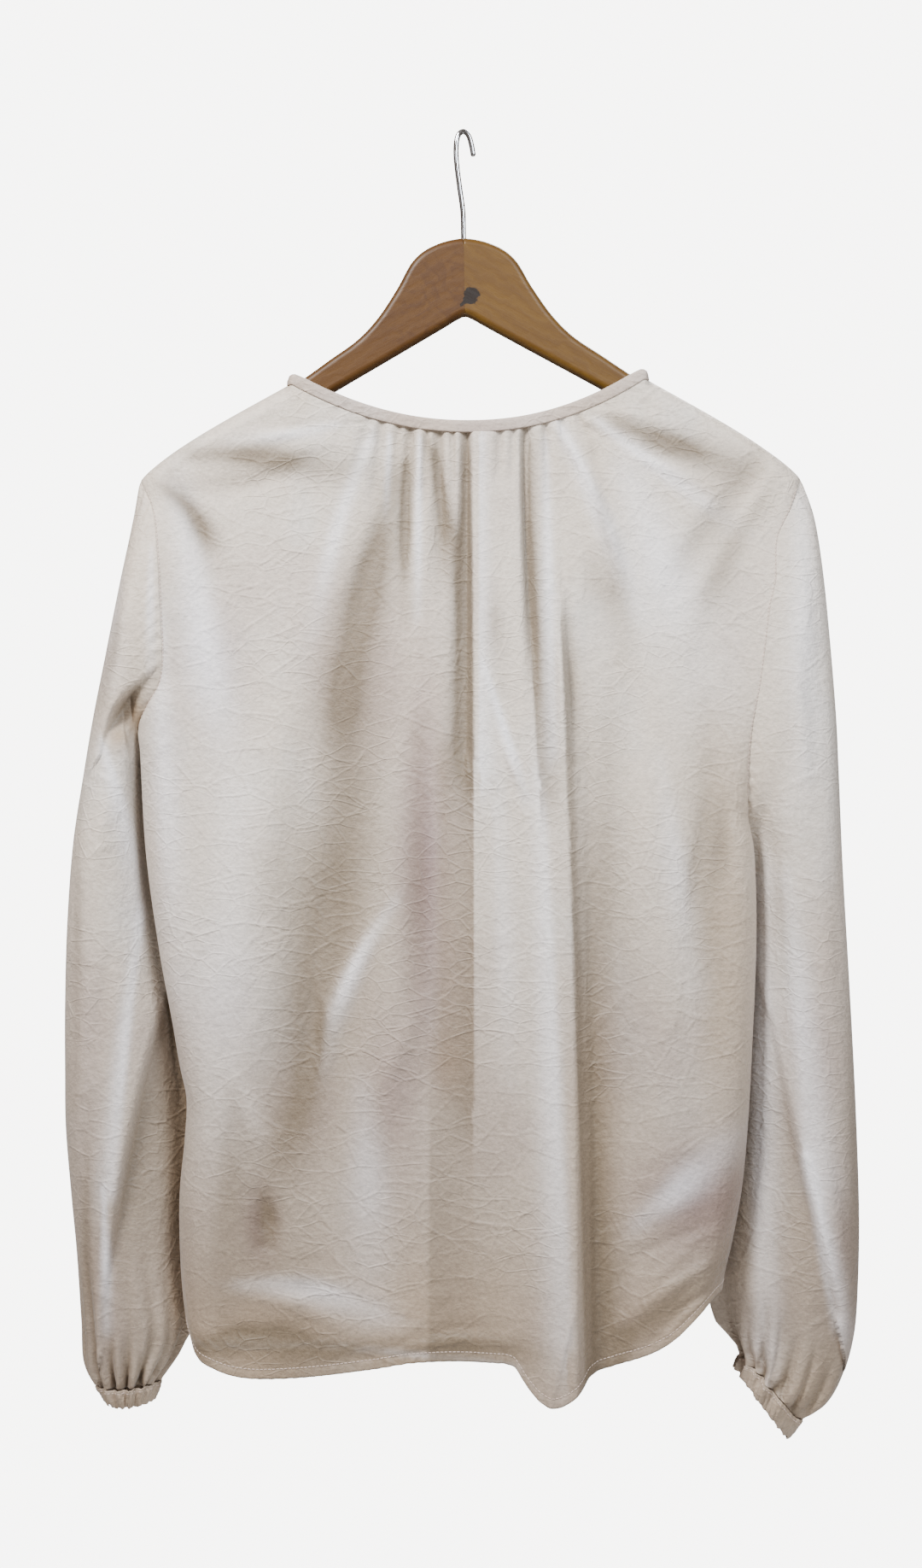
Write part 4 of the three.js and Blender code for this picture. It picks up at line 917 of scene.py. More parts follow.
def feed(tree, node, **sources):
    """Fills sockets by name: a socket is linked, anything else becomes its default."""
    for label, source in sources.items():
        numbered = label[0] == "i" and label[1:].isdigit()
        socket = node.inputs[int(label[1:]) if numbered else label]
        if isinstance(source, bpy.types.NodeSocket):
            tree.links.new(source, socket)
        else:
            socket.default_value = source
    return node


def calculate(tree, operation, a, b=0.0):
    return feed(tree, add_node(tree, "ShaderNodeMath", operation=operation), i0=a, i1=b).outputs[0]


def blend_colour(tree, factor, a, b, mode="MIX"):
    node = add_node(tree, "ShaderNodeMix", data_type="RGBA", blend_type=mode)
    return feed(tree, node, i0=factor, i6=a, i7=b).outputs[2]


def noise(tree, vector, scale, detail=3.0, roughness=0.55, distortion=0.0):
    node = add_node(tree, "ShaderNodeTexNoise")
    return feed(tree, node, Vector=vector, Scale=scale, Detail=detail, Roughness=roughness,
                Distortion=distortion).outputs["Fac"]


def ramp(tree, value, low, high, to_low=0.0, to_high=1.0):
    node = add_node(tree, "ShaderNodeMapRange", interpolation_type="SMOOTHSTEP")
    return feed(tree, node, i0=value, i1=low, i2=high, i3=to_low, i4=to_high).outputs[0]


def stretch(tree, vector, scale, turn=(0, 0, 0)):
    node = add_node(tree, "ShaderNodeMapping")
    return feed(tree, node, Vector=vector, Scale=scale, Rotation=turn).outputs[0]


def weave_group():
    """Plain weave: height of the threads that cross, with slubs."""
    if "plain_weave" in bpy.data.node_groups:
        return bpy.data.node_groups["plain_weave"]
    group, entry, result = new_group(
        "plain_weave",
        [("Vector", "NodeSocketVector", None), ("Threads", "NodeSocketFloat", 600.0)],
        [("Height", "NodeSocketFloat")],
    )
    vector, threads = entry.outputs[:2]
    bands = []
    for direction in ("X", "Z"):
        wave = add_node(group, "ShaderNodeTexWave", bands_direction=direction)
        feed(group, wave, Vector=vector, Scale=threads, Distortion=0.6, Detail=1.0)
        bands.append(wave.outputs["Fac"])
    slub = noise(group, stretch(group, vector, (120, 120, 900)), 1.0, 2.0)
    both = calculate(group, "MULTIPLY", bands[0], bands[1])
    feed(group, result, Height=calculate(group, "ADD", both, slub))
    return group


def crinkle_group():
    """Washed cotton: soft dents, and fine creases that cross one another in patches."""
    if "washed_crinkle" in bpy.data.node_groups:
        return bpy.data.node_groups["washed_crinkle"]
    group, entry, result = new_group(
        "washed_crinkle",
        [("Vector", "NodeSocketVector", None), ("Size", "NodeSocketFloat", 1.0)],
        [("Dents", "NodeSocketFloat"), ("Lines", "NodeSocketFloat")],
    )
    vector, size = entry.outputs[:2]
    flow = add_node(group, "ShaderNodeTexNoise", noise_dimensions="3D")
    feed(group, flow, Vector=vector, Scale=14.0, Detail=3.0)
    centred = add_node(group, "ShaderNodeVectorMath", operation="SUBTRACT")
    feed(group, centred, i0=flow.outputs["Color"], i1=(0.5, 0.5, 0.5))
    bent = add_node(group, "ShaderNodeVectorMath", operation="MULTIPLY_ADD")
    feed(group, bent, i0=centred.outputs[0], i1=(0.016, 0.016, 0.016), i2=vector)
    place = bent.outputs[0]
    broad = noise(group, stretch(group, place, (80, 80, 70), (0, 0.3, 0)), size, 2.0, 0.5)
    fine = noise(group, stretch(group, place, (260, 260, 300)), size, 2.0, 0.6)
    dents = feed(group, add_node(group, "ShaderNodeMath", operation="MULTIPLY_ADD"), i0=fine, i1=0.6, i2=broad)
    total = None
    for turn, scale, patch in ((0.7, 1.0, 12.0), (1.6, 0.75, 10.0), (-0.75, 1.5, 15.0)):
        cells = add_node(group, "ShaderNodeTexVoronoi", feature="DISTANCE_TO_EDGE")
        feed(group, cells, Vector=stretch(group, place, (38 * scale, 38 * scale, 66 * scale), (0, turn, 0)),
             Scale=size)
        line = ramp(group, cells.outputs["Distance"], 0.075, 0.0)
        there = ramp(group, noise(group, vector, patch, 2.0), 0.40, 0.58)
        line = calculate(group, "MULTIPLY", line, there)
        total = line if total is None else calculate(group, "ADD", total, line)
    feed(group, result, Dents=dents.outputs[0], Lines=total)
    return group


def mottle_group():
    """Soft uneven dye: masks of warm, rosy and cool patches."""
    if "dye_mottle" in bpy.data.node_groups:
        return bpy.data.node_groups["dye_mottle"]
    group, entry, result = new_group(
        "dye_mottle",
        [("Vector", "NodeSocketVector", None)],
        [("Warm", "NodeSocketFloat"), ("Rosy", "NodeSocketFloat"), ("Cool", "NodeSocketFloat"),
         ("Speckle", "NodeSocketFloat")],
    )
    vector = entry.outputs[0]
    warm = ramp(group, noise(group, stretch(group, vector, (9, 9, 4)), 1.0, 3.0), 0.42, 0.66)
    rosy = ramp(group, noise(group, stretch(group, vector, (8, 5, 5), (0, 0.4, 0)), 1.3, 2.0), 0.5, 0.7)
    cool = ramp(group, noise(group, stretch(group, vector, (11, 6, 6), (0, -0.3, 0)), 1.1, 3.0), 0.48, 0.7)
    speckle = noise(group, stretch(group, vector, (350, 350, 620)), 1.0, 3.0, 0.7)
    feed(group, result, Warm=warm, Rosy=rosy, Cool=cool, Speckle=speckle)
    return group


def use_group(tree, group, vector, **values):
    node = add_node(tree, "ShaderNodeGroup", node_tree=group)
    return feed(tree, node, Vector=vector, **values)


def new_material(name):
    material = bpy.data.materials.new(name)
    material.use_nodes = True
    tree = material.node_tree
    shader = tree.nodes["Principled BSDF"]
    place = add_node(tree, "ShaderNodeTexCoord").outputs["Object"]
    return material, tree, shader, place


def cloth_material(name, inside):
    if name in bpy.data.materials:
        return bpy.data.materials[name]
    look = bpy.context.scene.blouse_cloth
    material, tree, shader, place = new_material(name)
    dye = use_group(tree, mottle_group(), place)
    base = (*(look.inside_shade_colour if inside else look.colour), 1)
    trough, rosy_dye_and_shade, brown_tone_and_shade, bright = (painted(tree, layer) for layer in PAINT_LAYERS)
    colour = blend_colour(tree, calculate(tree, "MULTIPLY", dye.outputs["Warm"], 0.4), base,
                          (*look.warm_colour, 1))
    colour = blend_colour(tree, calculate(tree, "MULTIPLY", dye.outputs["Cool"], 0.4), colour,
                          (*look.cool_colour, 1))
    parts = feed(tree, add_node(tree, "ShaderNodeSeparateXYZ"), Vector=place).outputs
    # Painted shade: the cloth darkens towards the hem, where less light falls
    low = ramp(tree, parts["Z"], -0.40, -0.80, 0.0, 0.9)
    colour = blend_colour(tree, low, colour, (*look.low_shade_colour, 1))
    # Painted shade from the brown patches, an even brown tone on the binding
    brown = calculate(tree, "MULTIPLY", brown_tone_and_shade, ramp(tree, dye.outputs["Warm"], 0.0, 1.0, 0.7, 1.0))
    colour = blend_colour(tree, brown, colour, (*look.brown_tone_and_shade_colour, 1))
    # Rosy tint: random dye mottle, and placed rosy patches that are partly dye and partly painted shade
    rosy = calculate(tree, "ADD", calculate(tree, "MULTIPLY", dye.outputs["Rosy"], 0.2),
                     calculate(tree, "MULTIPLY", rosy_dye_and_shade, 0.95))
    colour = blend_colour(tree, rosy, colour, (*look.rosy_dye_and_shade_colour, 1), "MULTIPLY")
    # Painted highlights along the bright streaks
    colour = blend_colour(tree, calculate(tree, "MULTIPLY", bright, 0.7), colour, (*look.painted_highlight_colour, 1))
    # Painted shade: the inside is the same cloth, darkened as if in shade
    if inside:
        colour = blend_colour(tree, 0.55, colour, (*look.inside_shade_colour, 1))
    else:
        # Painted shade where the front band lies behind the sheer back
        colour = painted_band_shade(tree, parts, colour, (*look.inside_shade_colour, 1))
    # Painted shade deep in the folds and gathers and along the dark streaks
    colour = blend_colour(tree, calculate(tree, "MULTIPLY", trough, 0.9), colour, (*look.trough_shade_colour, 1))
    speckle = ramp(tree, dye.outputs["Speckle"], 0.3, 0.7, 0.86, 1.08)
    shade = blend_colour(tree, 1.0, colour, speckle, "MULTIPLY")
    crinkle = use_group(tree, crinkle_group(), place, Size=1.0)
    weave = use_group(tree, weave_group(), place, Threads=620.0)
    soft = calculate(tree, "MULTIPLY", crinkle.outputs["Dents"], look.crinkle_height)
    crisp = calculate(tree, "MULTIPLY", crinkle.outputs["Lines"], look.crinkle_height * 0.23)
    threads = calculate(tree, "MULTIPLY", weave.outputs["Height"], 0.00003)
    height = calculate(tree, "ADD", calculate(tree, "ADD", soft, crisp), threads)
    bump = feed(tree, add_node(tree, "ShaderNodeBump"), Strength=1.0, Distance=1.0, Height=height)
    rough = ramp(tree, dye.outputs["Speckle"], 0.3, 0.7, 0.48, 0.62)
    feed(tree, shader, **{
        "Base Color": shade, "Roughness": rough, "Normal": bump.outputs[0],
        "Sheen Weight": 0.15, "Sheen Roughness": 0.4, "Specular IOR Level": 0.45,
    })
    return material


def painted(tree, layer):
    """A layer of shading that the cloth's mesh holds at each of its points."""
    return add_node(tree, "ShaderNodeAttribute", attribute_name=layer).outputs["Fac"]


def painted_band_shade(tree, parts, colour, dark):
    """Painted shade where the front band lies behind the sheer back panel, darkening it as less light comes
    through.
    """
    left = ramp(tree, parts["X"], -0.022, -0.012)
    right = ramp(tree, parts["X"], 0.0072, 0.0062)
    below = ramp(tree, parts["Z"], -0.395, -0.425)
    behind = ramp(tree, parts["Y"], -0.004, -0.008)
    faded = ramp(tree, parts["Z"], -0.59, -0.66, 0.62, 0.12)
    mask = calculate(tree, "MULTIPLY", calculate(tree, "MULTIPLY", left, right),
                     calculate(tree, "MULTIPLY", below, behind))
    return blend_colour(tree, calculate(tree, "MULTIPLY", mask, faded), colour, dark)


def thread_material():
    if "sewing_thread" in bpy.data.materials:
        return bpy.data.materials["sewing_thread"]
    look = bpy.context.scene.blouse_cloth
    material, tree, shader, place = new_material("sewing_thread")
    shine = noise(tree, stretch(tree, place, (900, 900, 900)), 1.0, 2.0)
    pale = tuple(min(1.0, part * 1.25) for part in look.thread_colour)
    colour = blend_colour(tree, ramp(tree, shine, 0.3, 0.7), (*look.thread_colour, 1), (*pale, 1))
    bump = feed(tree, add_node(tree, "ShaderNodeBump"), Strength=0.4, Distance=0.0002, Height=shine)
    feed(tree, shader, **{"Base Color": colour, "Normal": bump.outputs[0], "Roughness": 0.6,
                          "Sheen Weight": 0.2})
    return material


def wood_material(name, tone, grain_tone, knot):
    material, tree, shader, place = new_material(name)
    turned = stretch(tree, place, (1, 1, 1), (0, 0.5 if knot else -0.5, 0))
    flow = noise(tree, stretch(tree, turned, (14, 40, 60)), 1.0, 4.0, 0.6, 0.8)
    wave = add_node(tree, "ShaderNodeTexWave", bands_direction="Z")
    feed(tree, wave, Vector=turned, Scale=42.0, Distortion=7.0, Detail=3.0, **{"Detail Scale": 2.0})
    fibres = noise(tree, stretch(tree, turned, (60, 900, 1400)), 1.0, 3.0, 0.7)
    colour = blend_colour(tree, calculate(tree, "MULTIPLY", flow, 0.8), (*tone, 1), (*grain_tone, 1))
    colour = blend_colour(tree, calculate(tree, "MULTIPLY", wave.outputs["Fac"], 0.22), colour,
                          (*grain_tone, 1))
    colour = blend_colour(tree, ramp(tree, fibres, 0.35, 0.75, 0.0, 0.25), colour, (*grain_tone, 1))
    colour = knot_mark(tree, place, colour, grain_tone, knot)
    height = calculate(tree, "ADD", calculate(tree, "MULTIPLY", fibres, 0.00008),
                       calculate(tree, "MULTIPLY", wave.outputs["Fac"], 0.00006))
    bump = feed(tree, add_node(tree, "ShaderNodeBump"), Strength=1.0, Distance=1.0, Height=height)
    rough = ramp(tree, fibres, 0.3, 0.7, 0.46, 0.6)
    feed(tree, shader, **{"Base Color": colour, "Roughness": rough, "Normal": bump.outputs[0],
                          "Coat Weight": 0.08, "Coat Roughness": 0.3, "Specular IOR Level": 0.3})
    return material


def knot_mark(tree, place, colour, grain_tone, burled):
    """A dark knot at the glue line, and on one half a burl of swirling grain beside it."""
    rough_place = add_node(tree, "ShaderNodeVectorMath", operation="MULTIPLY_ADD")
    bend = add_node(tree, "ShaderNodeTexNoise")
    feed(tree, bend, Vector=place, Scale=170.0, Detail=4.0)
    feed(tree, rough_place, i0=bend.outputs["Color"], i1=(0.018, 0, 0.018), i2=place)
    shades = []
    for centre in ((0.0135, 0, -0.1015), (-0.008, 0, -0.108)):
        offset = feed(tree, add_node(tree, "ShaderNodeVectorMath", operation="SUBTRACT"),
                      i0=rough_place.outputs[0], i1=centre)
        flat = feed(tree, add_node(tree, "ShaderNodeVectorMath", operation="MULTIPLY"), i0=offset.outputs[0],
                    i1=(1, 0, 0.8))
        length = feed(tree, add_node(tree, "ShaderNodeVectorMath", operation="LENGTH"), i0=flat.outputs[0])
        shades.append(length.outputs["Value"])
    dark = ramp(tree, shades[0], 0.0062, 0.0050)
    if burled:
        swirl = noise(tree, place, 60.0, 5.0, 0.65, 2.5)
        burl = calculate(tree, "MULTIPLY", ramp(tree, swirl, 0.45, 0.6), ramp(tree, shades[1], 0.06, 0.012))
        colour = blend_colour(tree, calculate(tree, "MULTIPLY", burl, 0.6), colour, (*grain_tone, 1))
    return blend_colour(tree, dark, colour, tuple(part * 0.15 for part in grain_tone) + (1,))


def chrome_material():
    material, tree, shader, place = new_material("polished_chrome")
    smudge = noise(tree, place, 220.0, 3.0)
    colour = blend_colour(tree, ramp(tree, smudge, 0.4, 0.7), (0.50, 0.51, 0.53, 1), (0.32, 0.33, 0.35, 1))
    feed(tree, shader, **{"Base Color": colour, "Metallic": 1.0,
                          "Roughness": ramp(tree, smudge, 0.3, 0.7, 0.1, 0.22)})
    return material


# Sewing

def stitch_rows(name, paths):
    """One object of small rounded stitches along paths, each with its outward directions."""
    look = bpy.context.scene.blouse_cloth
    pitch = look.stitch_pitch / MM
    radius = 0.28
    sides = 6
    rings = ((-0.5, 0.25), (-0.34, 1.0), (0.0, 1.15), (0.34, 1.0), (0.5, 0.25))
    points = []
    faces = []
    for path, outward in paths:
        steps = np.linalg.norm(np.diff(path, axis=0), axis=1)
        length = np.concatenate([[0], np.cumsum(steps)])
        places = np.arange(pitch, length[-1] - pitch, pitch)
        centre = np.stack([np.interp(places, length, path[:, axis]) for axis in range(3)], axis=1)
        up = np.stack([np.interp(places, length, outward[:, axis]) for axis in range(3)], axis=1)
        ahead = np.gradient(centre, axis=0)
        ahead /= np.linalg.norm(ahead, axis=1, keepdims=True)
        side = np.cross(ahead, up)
        side /= np.linalg.norm(side, axis=1, keepdims=True)
        up = np.cross(side, ahead)
        for k in range(len(places)):
            base = len(points)
            for shift, size in rings:
                for turn in np.arange(sides) * TAU / sides:
                    ring = side[k] * np.cos(turn) + up[k] * (0.7 * np.sin(turn))
                    points.append(centre[k] + ahead[k] * (shift * pitch * 0.78) + ring * radius * size)
            for ring in range(len(rings) - 1):
                for turn in range(sides):
                    a = base + ring * sides + turn
                    b = base + ring * sides + (turn + 1) % sides
                    faces.append((a, b, b + sides, a + sides))
            faces.append(tuple(base + turn for turn in reversed(range(sides))))
            faces.append(tuple(base + (len(rings) - 1) * sides + turn for turn in range(sides)))
    piece = mesh_object(name, points, faces)
    piece.data.materials.append(thread_material())
    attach(piece, "root")
    return piece


def surface_path(points, beside, lift):
    """A path lifted off the cloth, from two neighbouring lines of its points."""
    ahead = np.gradient(points, axis=0)
    normal = np.cross(ahead, beside - points)
    normal /= np.linalg.norm(normal, axis=1, keepdims=True)
    return points + normal * lift, normal


def panel_path(panel, columns, downs, lift):
    step = 0.002
    points = panel.point(columns, downs)
    beside = panel.point(columns, downs + step)
    path, normal = surface_path(points, beside, 0)
    normal = normal * np.sign(normal[:, 1:2] * panel.side + 1e-9)
    return path + normal * lift, normal


def neck_edge(panel, count):
    """Points of a panel's top edge between the shoulder seams, closer where it turns over the wood."""
    start, stop = (column_at(panel, place) for place in NECK_FRACTIONS)
    wrap = NECK_WRAP / (RIGHT_NECK[0] - LEFT_NECK[0])
    even = np.linspace(wrap, 1 - wrap, count)
    ends = wrap * (1 - np.cos(np.linspace(0, np.pi / 2, 6)))[:-1]
    shares = np.concatenate([ends, even, 1 - ends[::-1]])
    return panel.point(mix(start, stop, shares), np.array(0.0))


def binding_frame():
    """Edge points round the neck with their up and outward directions."""
    back = neck_edge(BACK, 190)
    front = neck_edge(FRONT, 260)[::-1]
    edge = np.concatenate([back[:-1], front[:-1]])
    corners = (0, len(back) - 1)
    for corner in corners:
        edge[corner, 1] = 0
    tangent = np.roll(edge, -1, axis=0) - np.roll(edge, 1, axis=0)
    flat = np.stack([-tangent[:, 2], np.zeros(len(edge)), tangent[:, 0]], axis=1)
    side = np.where(np.arange(len(edge)) < corners[1], 1.0, -1.0)[:, None]
    up = flat / np.maximum(np.linalg.norm(flat, axis=1, keepdims=True), 1e-6) * side
    up[corners[0]] = (0.88, 0, 0.47)
    up[corners[1]] = (-0.88, 0, 0.47)
    for _ in range(3):
        up = np.roll(up, 1, axis=0) + 2 * up + np.roll(up, -1, axis=0)
        up /= np.linalg.norm(up, axis=1, keepdims=True)
    outward = np.cross(up, tangent)
    outward /= np.linalg.norm(outward, axis=1, keepdims=True)
    return edge, up, outward


BINDING_SECTION = ((-0.9, -0.55), (0.0, -0.95), (1.2, -0.8), (3.4, -1.05), (5.6, -0.95), (6.8, -0.6),
                   (7.3, 0.0), (6.8, 0.6), (5.6, 0.95), (3.4, 1.05), (1.2, 0.8), (0.0, 0.95),
                   (-0.9, 0.55), (-0.5, 0.0))
BINDING_STITCH_HEIGHT = 1.2


class ClothSettings(bpy.types.PropertyGroup):
    thickness: FloatProperty(
        name="Thickness", description="Thickness of the cloth", default=0.0005, min=0.0002, max=0.002,
        precision=4, unit="LENGTH")
    stitch_pitch: FloatProperty(
        name="Stitch pitch", description="Distance from one stitch to the next", default=0.0027,
        min=0.001, max=0.006, precision=4, unit="LENGTH")
    crinkle_height: FloatProperty(
        name="Crinkle height", description="Height of the washed crinkles", default=0.0011,
        min=0, max=0.01, precision=4, unit="LENGTH")
    colour: FloatVectorProperty(
        name="Cloth", description="Main colour of the cloth", default=(0.61, 0.54, 0.465), subtype="COLOR",
        min=0, max=1)
    warm_colour: FloatVectorProperty(
        name="Warm patches", description="Colour of the warm patches", default=(0.55, 0.455, 0.35),
        subtype="COLOR", min=0, max=1)
    rosy_dye_and_shade_colour: FloatVectorProperty(
        name="Rosy patches", description="Tint of the rosy patches", default=(0.42, 0.32, 0.37),
        subtype="COLOR", min=0, max=1)
    # Colour of the painted highlights
    painted_highlight_colour: FloatVectorProperty(
        name="Painted highlights", description="Colour of the bright streaks", default=(0.88, 0.88, 0.94),
        subtype="COLOR", min=0, max=1)
    cool_colour: FloatVectorProperty(
        name="Cool patches", description="Colour of the cool patches", default=(0.60, 0.60, 0.60),
        subtype="COLOR", min=0, max=1)
    # Painted shade towards the hem
    low_shade_colour: FloatVectorProperty(
        name="Lower part", description="Colour towards the hem", default=(0.33, 0.265, 0.21),
        subtype="COLOR", min=0, max=1)
    # Painted shade of the brown patches, and the binding's brown tone
    brown_tone_and_shade_colour: FloatVectorProperty(
        name="Brown patches", description="Colour of the brown patches", default=(0.33, 0.235, 0.15),
        subtype="COLOR", min=0, max=1)
    # Painted shade: the colour the cloth is given deep in its folds
    trough_shade_colour: FloatVectorProperty(
        name="Troughs", description="Colour of the cloth deep in its folds", default=(0.15, 0.112, 0.072),
        subtype="COLOR", min=0, max=1)
    inside_shade_colour: FloatVectorProperty(
        name="Inside", description="Colour of the shaded inside", default=(0.22, 0.155, 0.105),
        subtype="COLOR", min=0, max=1)
    thread_colour: FloatVectorProperty(
        name="Thread", description="Colour of the sewing thread", default=(0.50, 0.40, 0.35),
        subtype="COLOR", min=0, max=1)


class HangerSettings(bpy.types.PropertyGroup):
    dark_wood: FloatVectorProperty(
        name="Dark half", description="Wood of the left half", default=(0.084, 0.035, 0.002),
        subtype="COLOR", min=0, max=1)
    light_wood: FloatVectorProperty(
        name="Light half", description="Wood of the right half", default=(0.122, 0.062, 0.005),
        subtype="COLOR", min=0, max=1)
    grain: FloatVectorProperty(
        name="Grain", description="Colour of the grain", default=(0.042, 0.014, 0.001), subtype="COLOR",
        min=0, max=1)


class StageSettings(bpy.types.PropertyGroup):
    distance: FloatProperty(
        name="Camera distance", description="From the camera to the hanger", default=1.6, min=0.5,
        unit="LENGTH")
    key_power: FloatProperty(
        name="Key light", description="Power of the light at the upper left, in watts", default=54, min=0)
    fill_power: FloatProperty(
        name="Fill light", description="Power of the light at the right, in watts", default=36, min=0)
    rear_power: FloatProperty(
        name="Rear light", description="Power of the light beyond the blouse, in watts", default=34, min=0)
    ambient: FloatProperty(
        name="Ambient", description="Strength of the room's own light", default=0.22, min=0)
    backdrop: FloatVectorProperty(
        name="Backdrop", description="Colour behind the blouse", default=(1.0, 0.99, 0.965),
        subtype="COLOR", min=0, max=1)
    room_colour: FloatVectorProperty(
        name="Room light", description="Colour of the room's own light", default=(1.0, 0.83, 0.70),
        subtype="COLOR", min=0, max=1)
    backdrop_glow: FloatProperty(
        name="Backdrop glow", description="Brightness of what the camera sees behind", default=7.0, min=0)


class BLOUSE_OT_back(bpy.types.Operator):
    """Build the gathered back panel with its folds and hem"""

    bl_idname = "blouse.back"
    bl_label = "Back panel"

    def execute(self, context):
        columns = panel_columns(BACK, GATHER_FRACTIONS, BACK_COLUMNS)
        rows = panel_rows(BACK_ROWS)
        points = BACK.point(columns[None, :], rows[:, None])
        piece = cloth_piece("back_cloth", points, folds=BACK.folds, patches=(ROSY_DYE_AND_SHADE_PATCHES, BROWN_SHADE_PATCHES),
                            streaks=(DARK_STREAKS, PAINTED_HIGHLIGHT_STREAKS))
        sew_in(piece, "back")
        return {"FINISHED"}


class BLOUSE_OT_front(bpy.types.Operator):
    """Build the front panel and the band down its middle"""

    bl_idname = "blouse.front"
    bl_label = "Front panel and band"

    def execute(self, context):
        neck_from, neck_to = NECK_FRACTIONS
        v_place = mix(neck_from, neck_to, (V_POINT[0] - LEFT_NECK[0]) / (RIGHT_NECK[0] - LEFT_NECK[0]))
        reach = FRONT_BAND_WIDTH / 2 / BODY_WIDTH
        sides = (v_place - reach, v_place + reach)
        columns = panel_columns(FRONT, sides, FRONT_COLUMNS)
        rows = panel_rows(FRONT_ROWS)
        points = FRONT.point(columns[None, :], rows[:, None])
        piece = cloth_piece("front_cloth", points, flipped=True, folds=FRONT.folds)
        sew_in(piece, "front")

        band_columns = np.linspace(*(column_at(FRONT, side) for side in sides), 22)
        points = FRONT.point(band_columns[None, :], rows[RIDGE_ROWS:, None])
        share = np.linspace(0, 1, len(band_columns))
        edge = np.minimum(share, 1 - share)[None, :]
        points[..., 1] += FRONT_BAND_RISE * np.clip(edge / 0.03, 0.35, 1)
        band = cloth_piece("front_band_cloth", points, flipped=True)
        sew_in(band, "front_band")
        return {"FINISHED"}


class BLOUSE_OT_sleeves(bpy.types.Operator):
    """Build both long sleeves and their cuffs"""

    bl_idname = "blouse.sleeves"
    bl_label = "Sleeves and cuffs"

    def execute(self, context):
        angles = np.arange(SLEEVE_SIDES) * TAU / SLEEVE_SIDES
        along = np.linspace(0, 1, SLEEVE_ROWS + 1)
        cuff_along = np.linspace(0.02, 1.0, CUFF_ROWS + 1)
        for side, sleeve in (("left", LEFT_ARM), ("right", RIGHT_ARM)):
            flipped = sleeve.outward > 0
            points = sleeve.point(along[:, None], angles[None, :])
            patches = (SLEEVE_ROSY, sleeve.brown)
            # Painted shade in the gathers that run up from the cuff
            gathers = sleeve.gathers(along[:, None], angles[None, :]) / 4
            bright = LEFT_SLEEVE_HIGHLIGHTS if side == "left" else RIGHT_SLEEVE_HIGHLIGHTS
            piece = cloth_piece(f"sleeve_{side}_cloth", points, True, flipped, folds=sleeve.folds,
                                patches=patches, streaks=(SLEEVE_SHADE_STREAKS, bright), deepest=14.0, gathers=gathers)
            sew_in(piece, f"sleeve_{side}")
            ring = sleeve.cuff_point(cuff_along[:, None], angles[None, :])
            cuff = cloth_piece(f"cuff_{side}_cloth", ring, True, flipped, patches=patches)
            sew_in(cuff, f"cuff_{side}")
        return {"FINISHED"}


class BLOUSE_OT_neck_binding(bpy.types.Operator):
    """Build the bias binding round the neck"""

    bl_idname = "blouse.neck_binding"
    bl_label = "Neck binding"

    def execute(self, context):
        edge, up, outward = binding_frame()
        steps = np.linalg.norm(np.roll(edge, -1, axis=0) - edge, axis=1)
        along = np.concatenate([[0], np.cumsum(steps)[:-1]])
        corners = (edge[0], edge[np.argmax(edge[:, 0])])
        apart = np.min([np.linalg.norm(edge - corner, axis=1) for corner in corners], axis=0)
        folded = 1 - 0.9 * np.exp(-((apart / 7) ** 2))
        rings = []
        for height, away in BINDING_SECTION:
            slant = 0.28 * ripple(along + 1.1 * height, 9.0, 0.5) * np.sin(np.pi * np.clip(height / 7.3, 0, 1))
            away_here = away + np.sign(away) * slant
            rings.append(edge + up * (height * folded)[:, None] + outward * away_here[:, None])
        points = np.stack(rings, axis=1)
        count, sides = points.shape[:2]
        looped = np.concatenate([points, points[:1]], axis=0)
        faces = grid_faces(count + 1, sides, joined=True)
        faces = [tuple(corner % (count * sides) for corner in face) for face in faces]
        piece = mesh_object("neck_binding_cloth", looped[:-1].reshape(-1, 3), faces)
        paint(piece, points, patches=(BINDING_ROSY, BINDING_BROWN))
        piece.data.materials.append(cloth_material("cloth_outside", False))
        sew_in(piece, "neck_binding")
        return {"FINISHED"}


class BLOUSE_OT_sewing(bpy.types.Operator):
    """Sew the stitch lines of the neck, armholes, hems and cuffs"""

    bl_idname = "blouse.sewing"
    bl_label = "Stitch lines"

    def execute(self, context):
        edge, up, outward = binding_frame()
        base = edge + up * BINDING_STITCH_HEIGHT
        stitch_rows("neck_stitches", [(base + outward * 0.85, outward)])

        hems = []
        columns = np.linspace(0.01, 0.99, 500)
        for panel in (BACK, FRONT):
            hems.append(panel_path(panel, columns, np.array(1 - HEM_HEIGHT / BODY_HEIGHT), 0.35))
        stitch_rows("hem_stitches", hems)

        armholes = []
        for sleeve in (LEFT_ARM, RIGHT_ARM):
            end = (sleeve.underarm_z - sleeve.tip_z) / -BODY_HEIGHT
            downs = np.linspace(0.02, end, 300)
            for panel in (BACK, FRONT):
                column = 0.011 if sleeve.outward < 0 else 0.989
                points = panel.point(np.array(column), downs)
                beside = panel.point(np.array(mix(column, 0.5, 0.01)), downs)
                path, normal = surface_path(points, beside, 0)
                normal = normal * np.sign(normal[:, 1:2] * panel.side + 1e-9)
                armholes.append((path + normal * 0.4, normal))
        stitch_rows("armhole_stitches", armholes)

        cuffs = []
        angles = np.linspace(0, TAU, 300)
        for sleeve in (LEFT_ARM, RIGHT_ARM):
            ring = sleeve.cuff_point(np.array(0.18), angles)
            middle = ring.mean(axis=0)
            away = ring - middle
            away /= np.linalg.norm(away, axis=1, keepdims=True)
            cuffs.append((ring + away * 0.35, away))
        stitch_rows("cuff_stitches", cuffs)
        return {"FINISHED"}


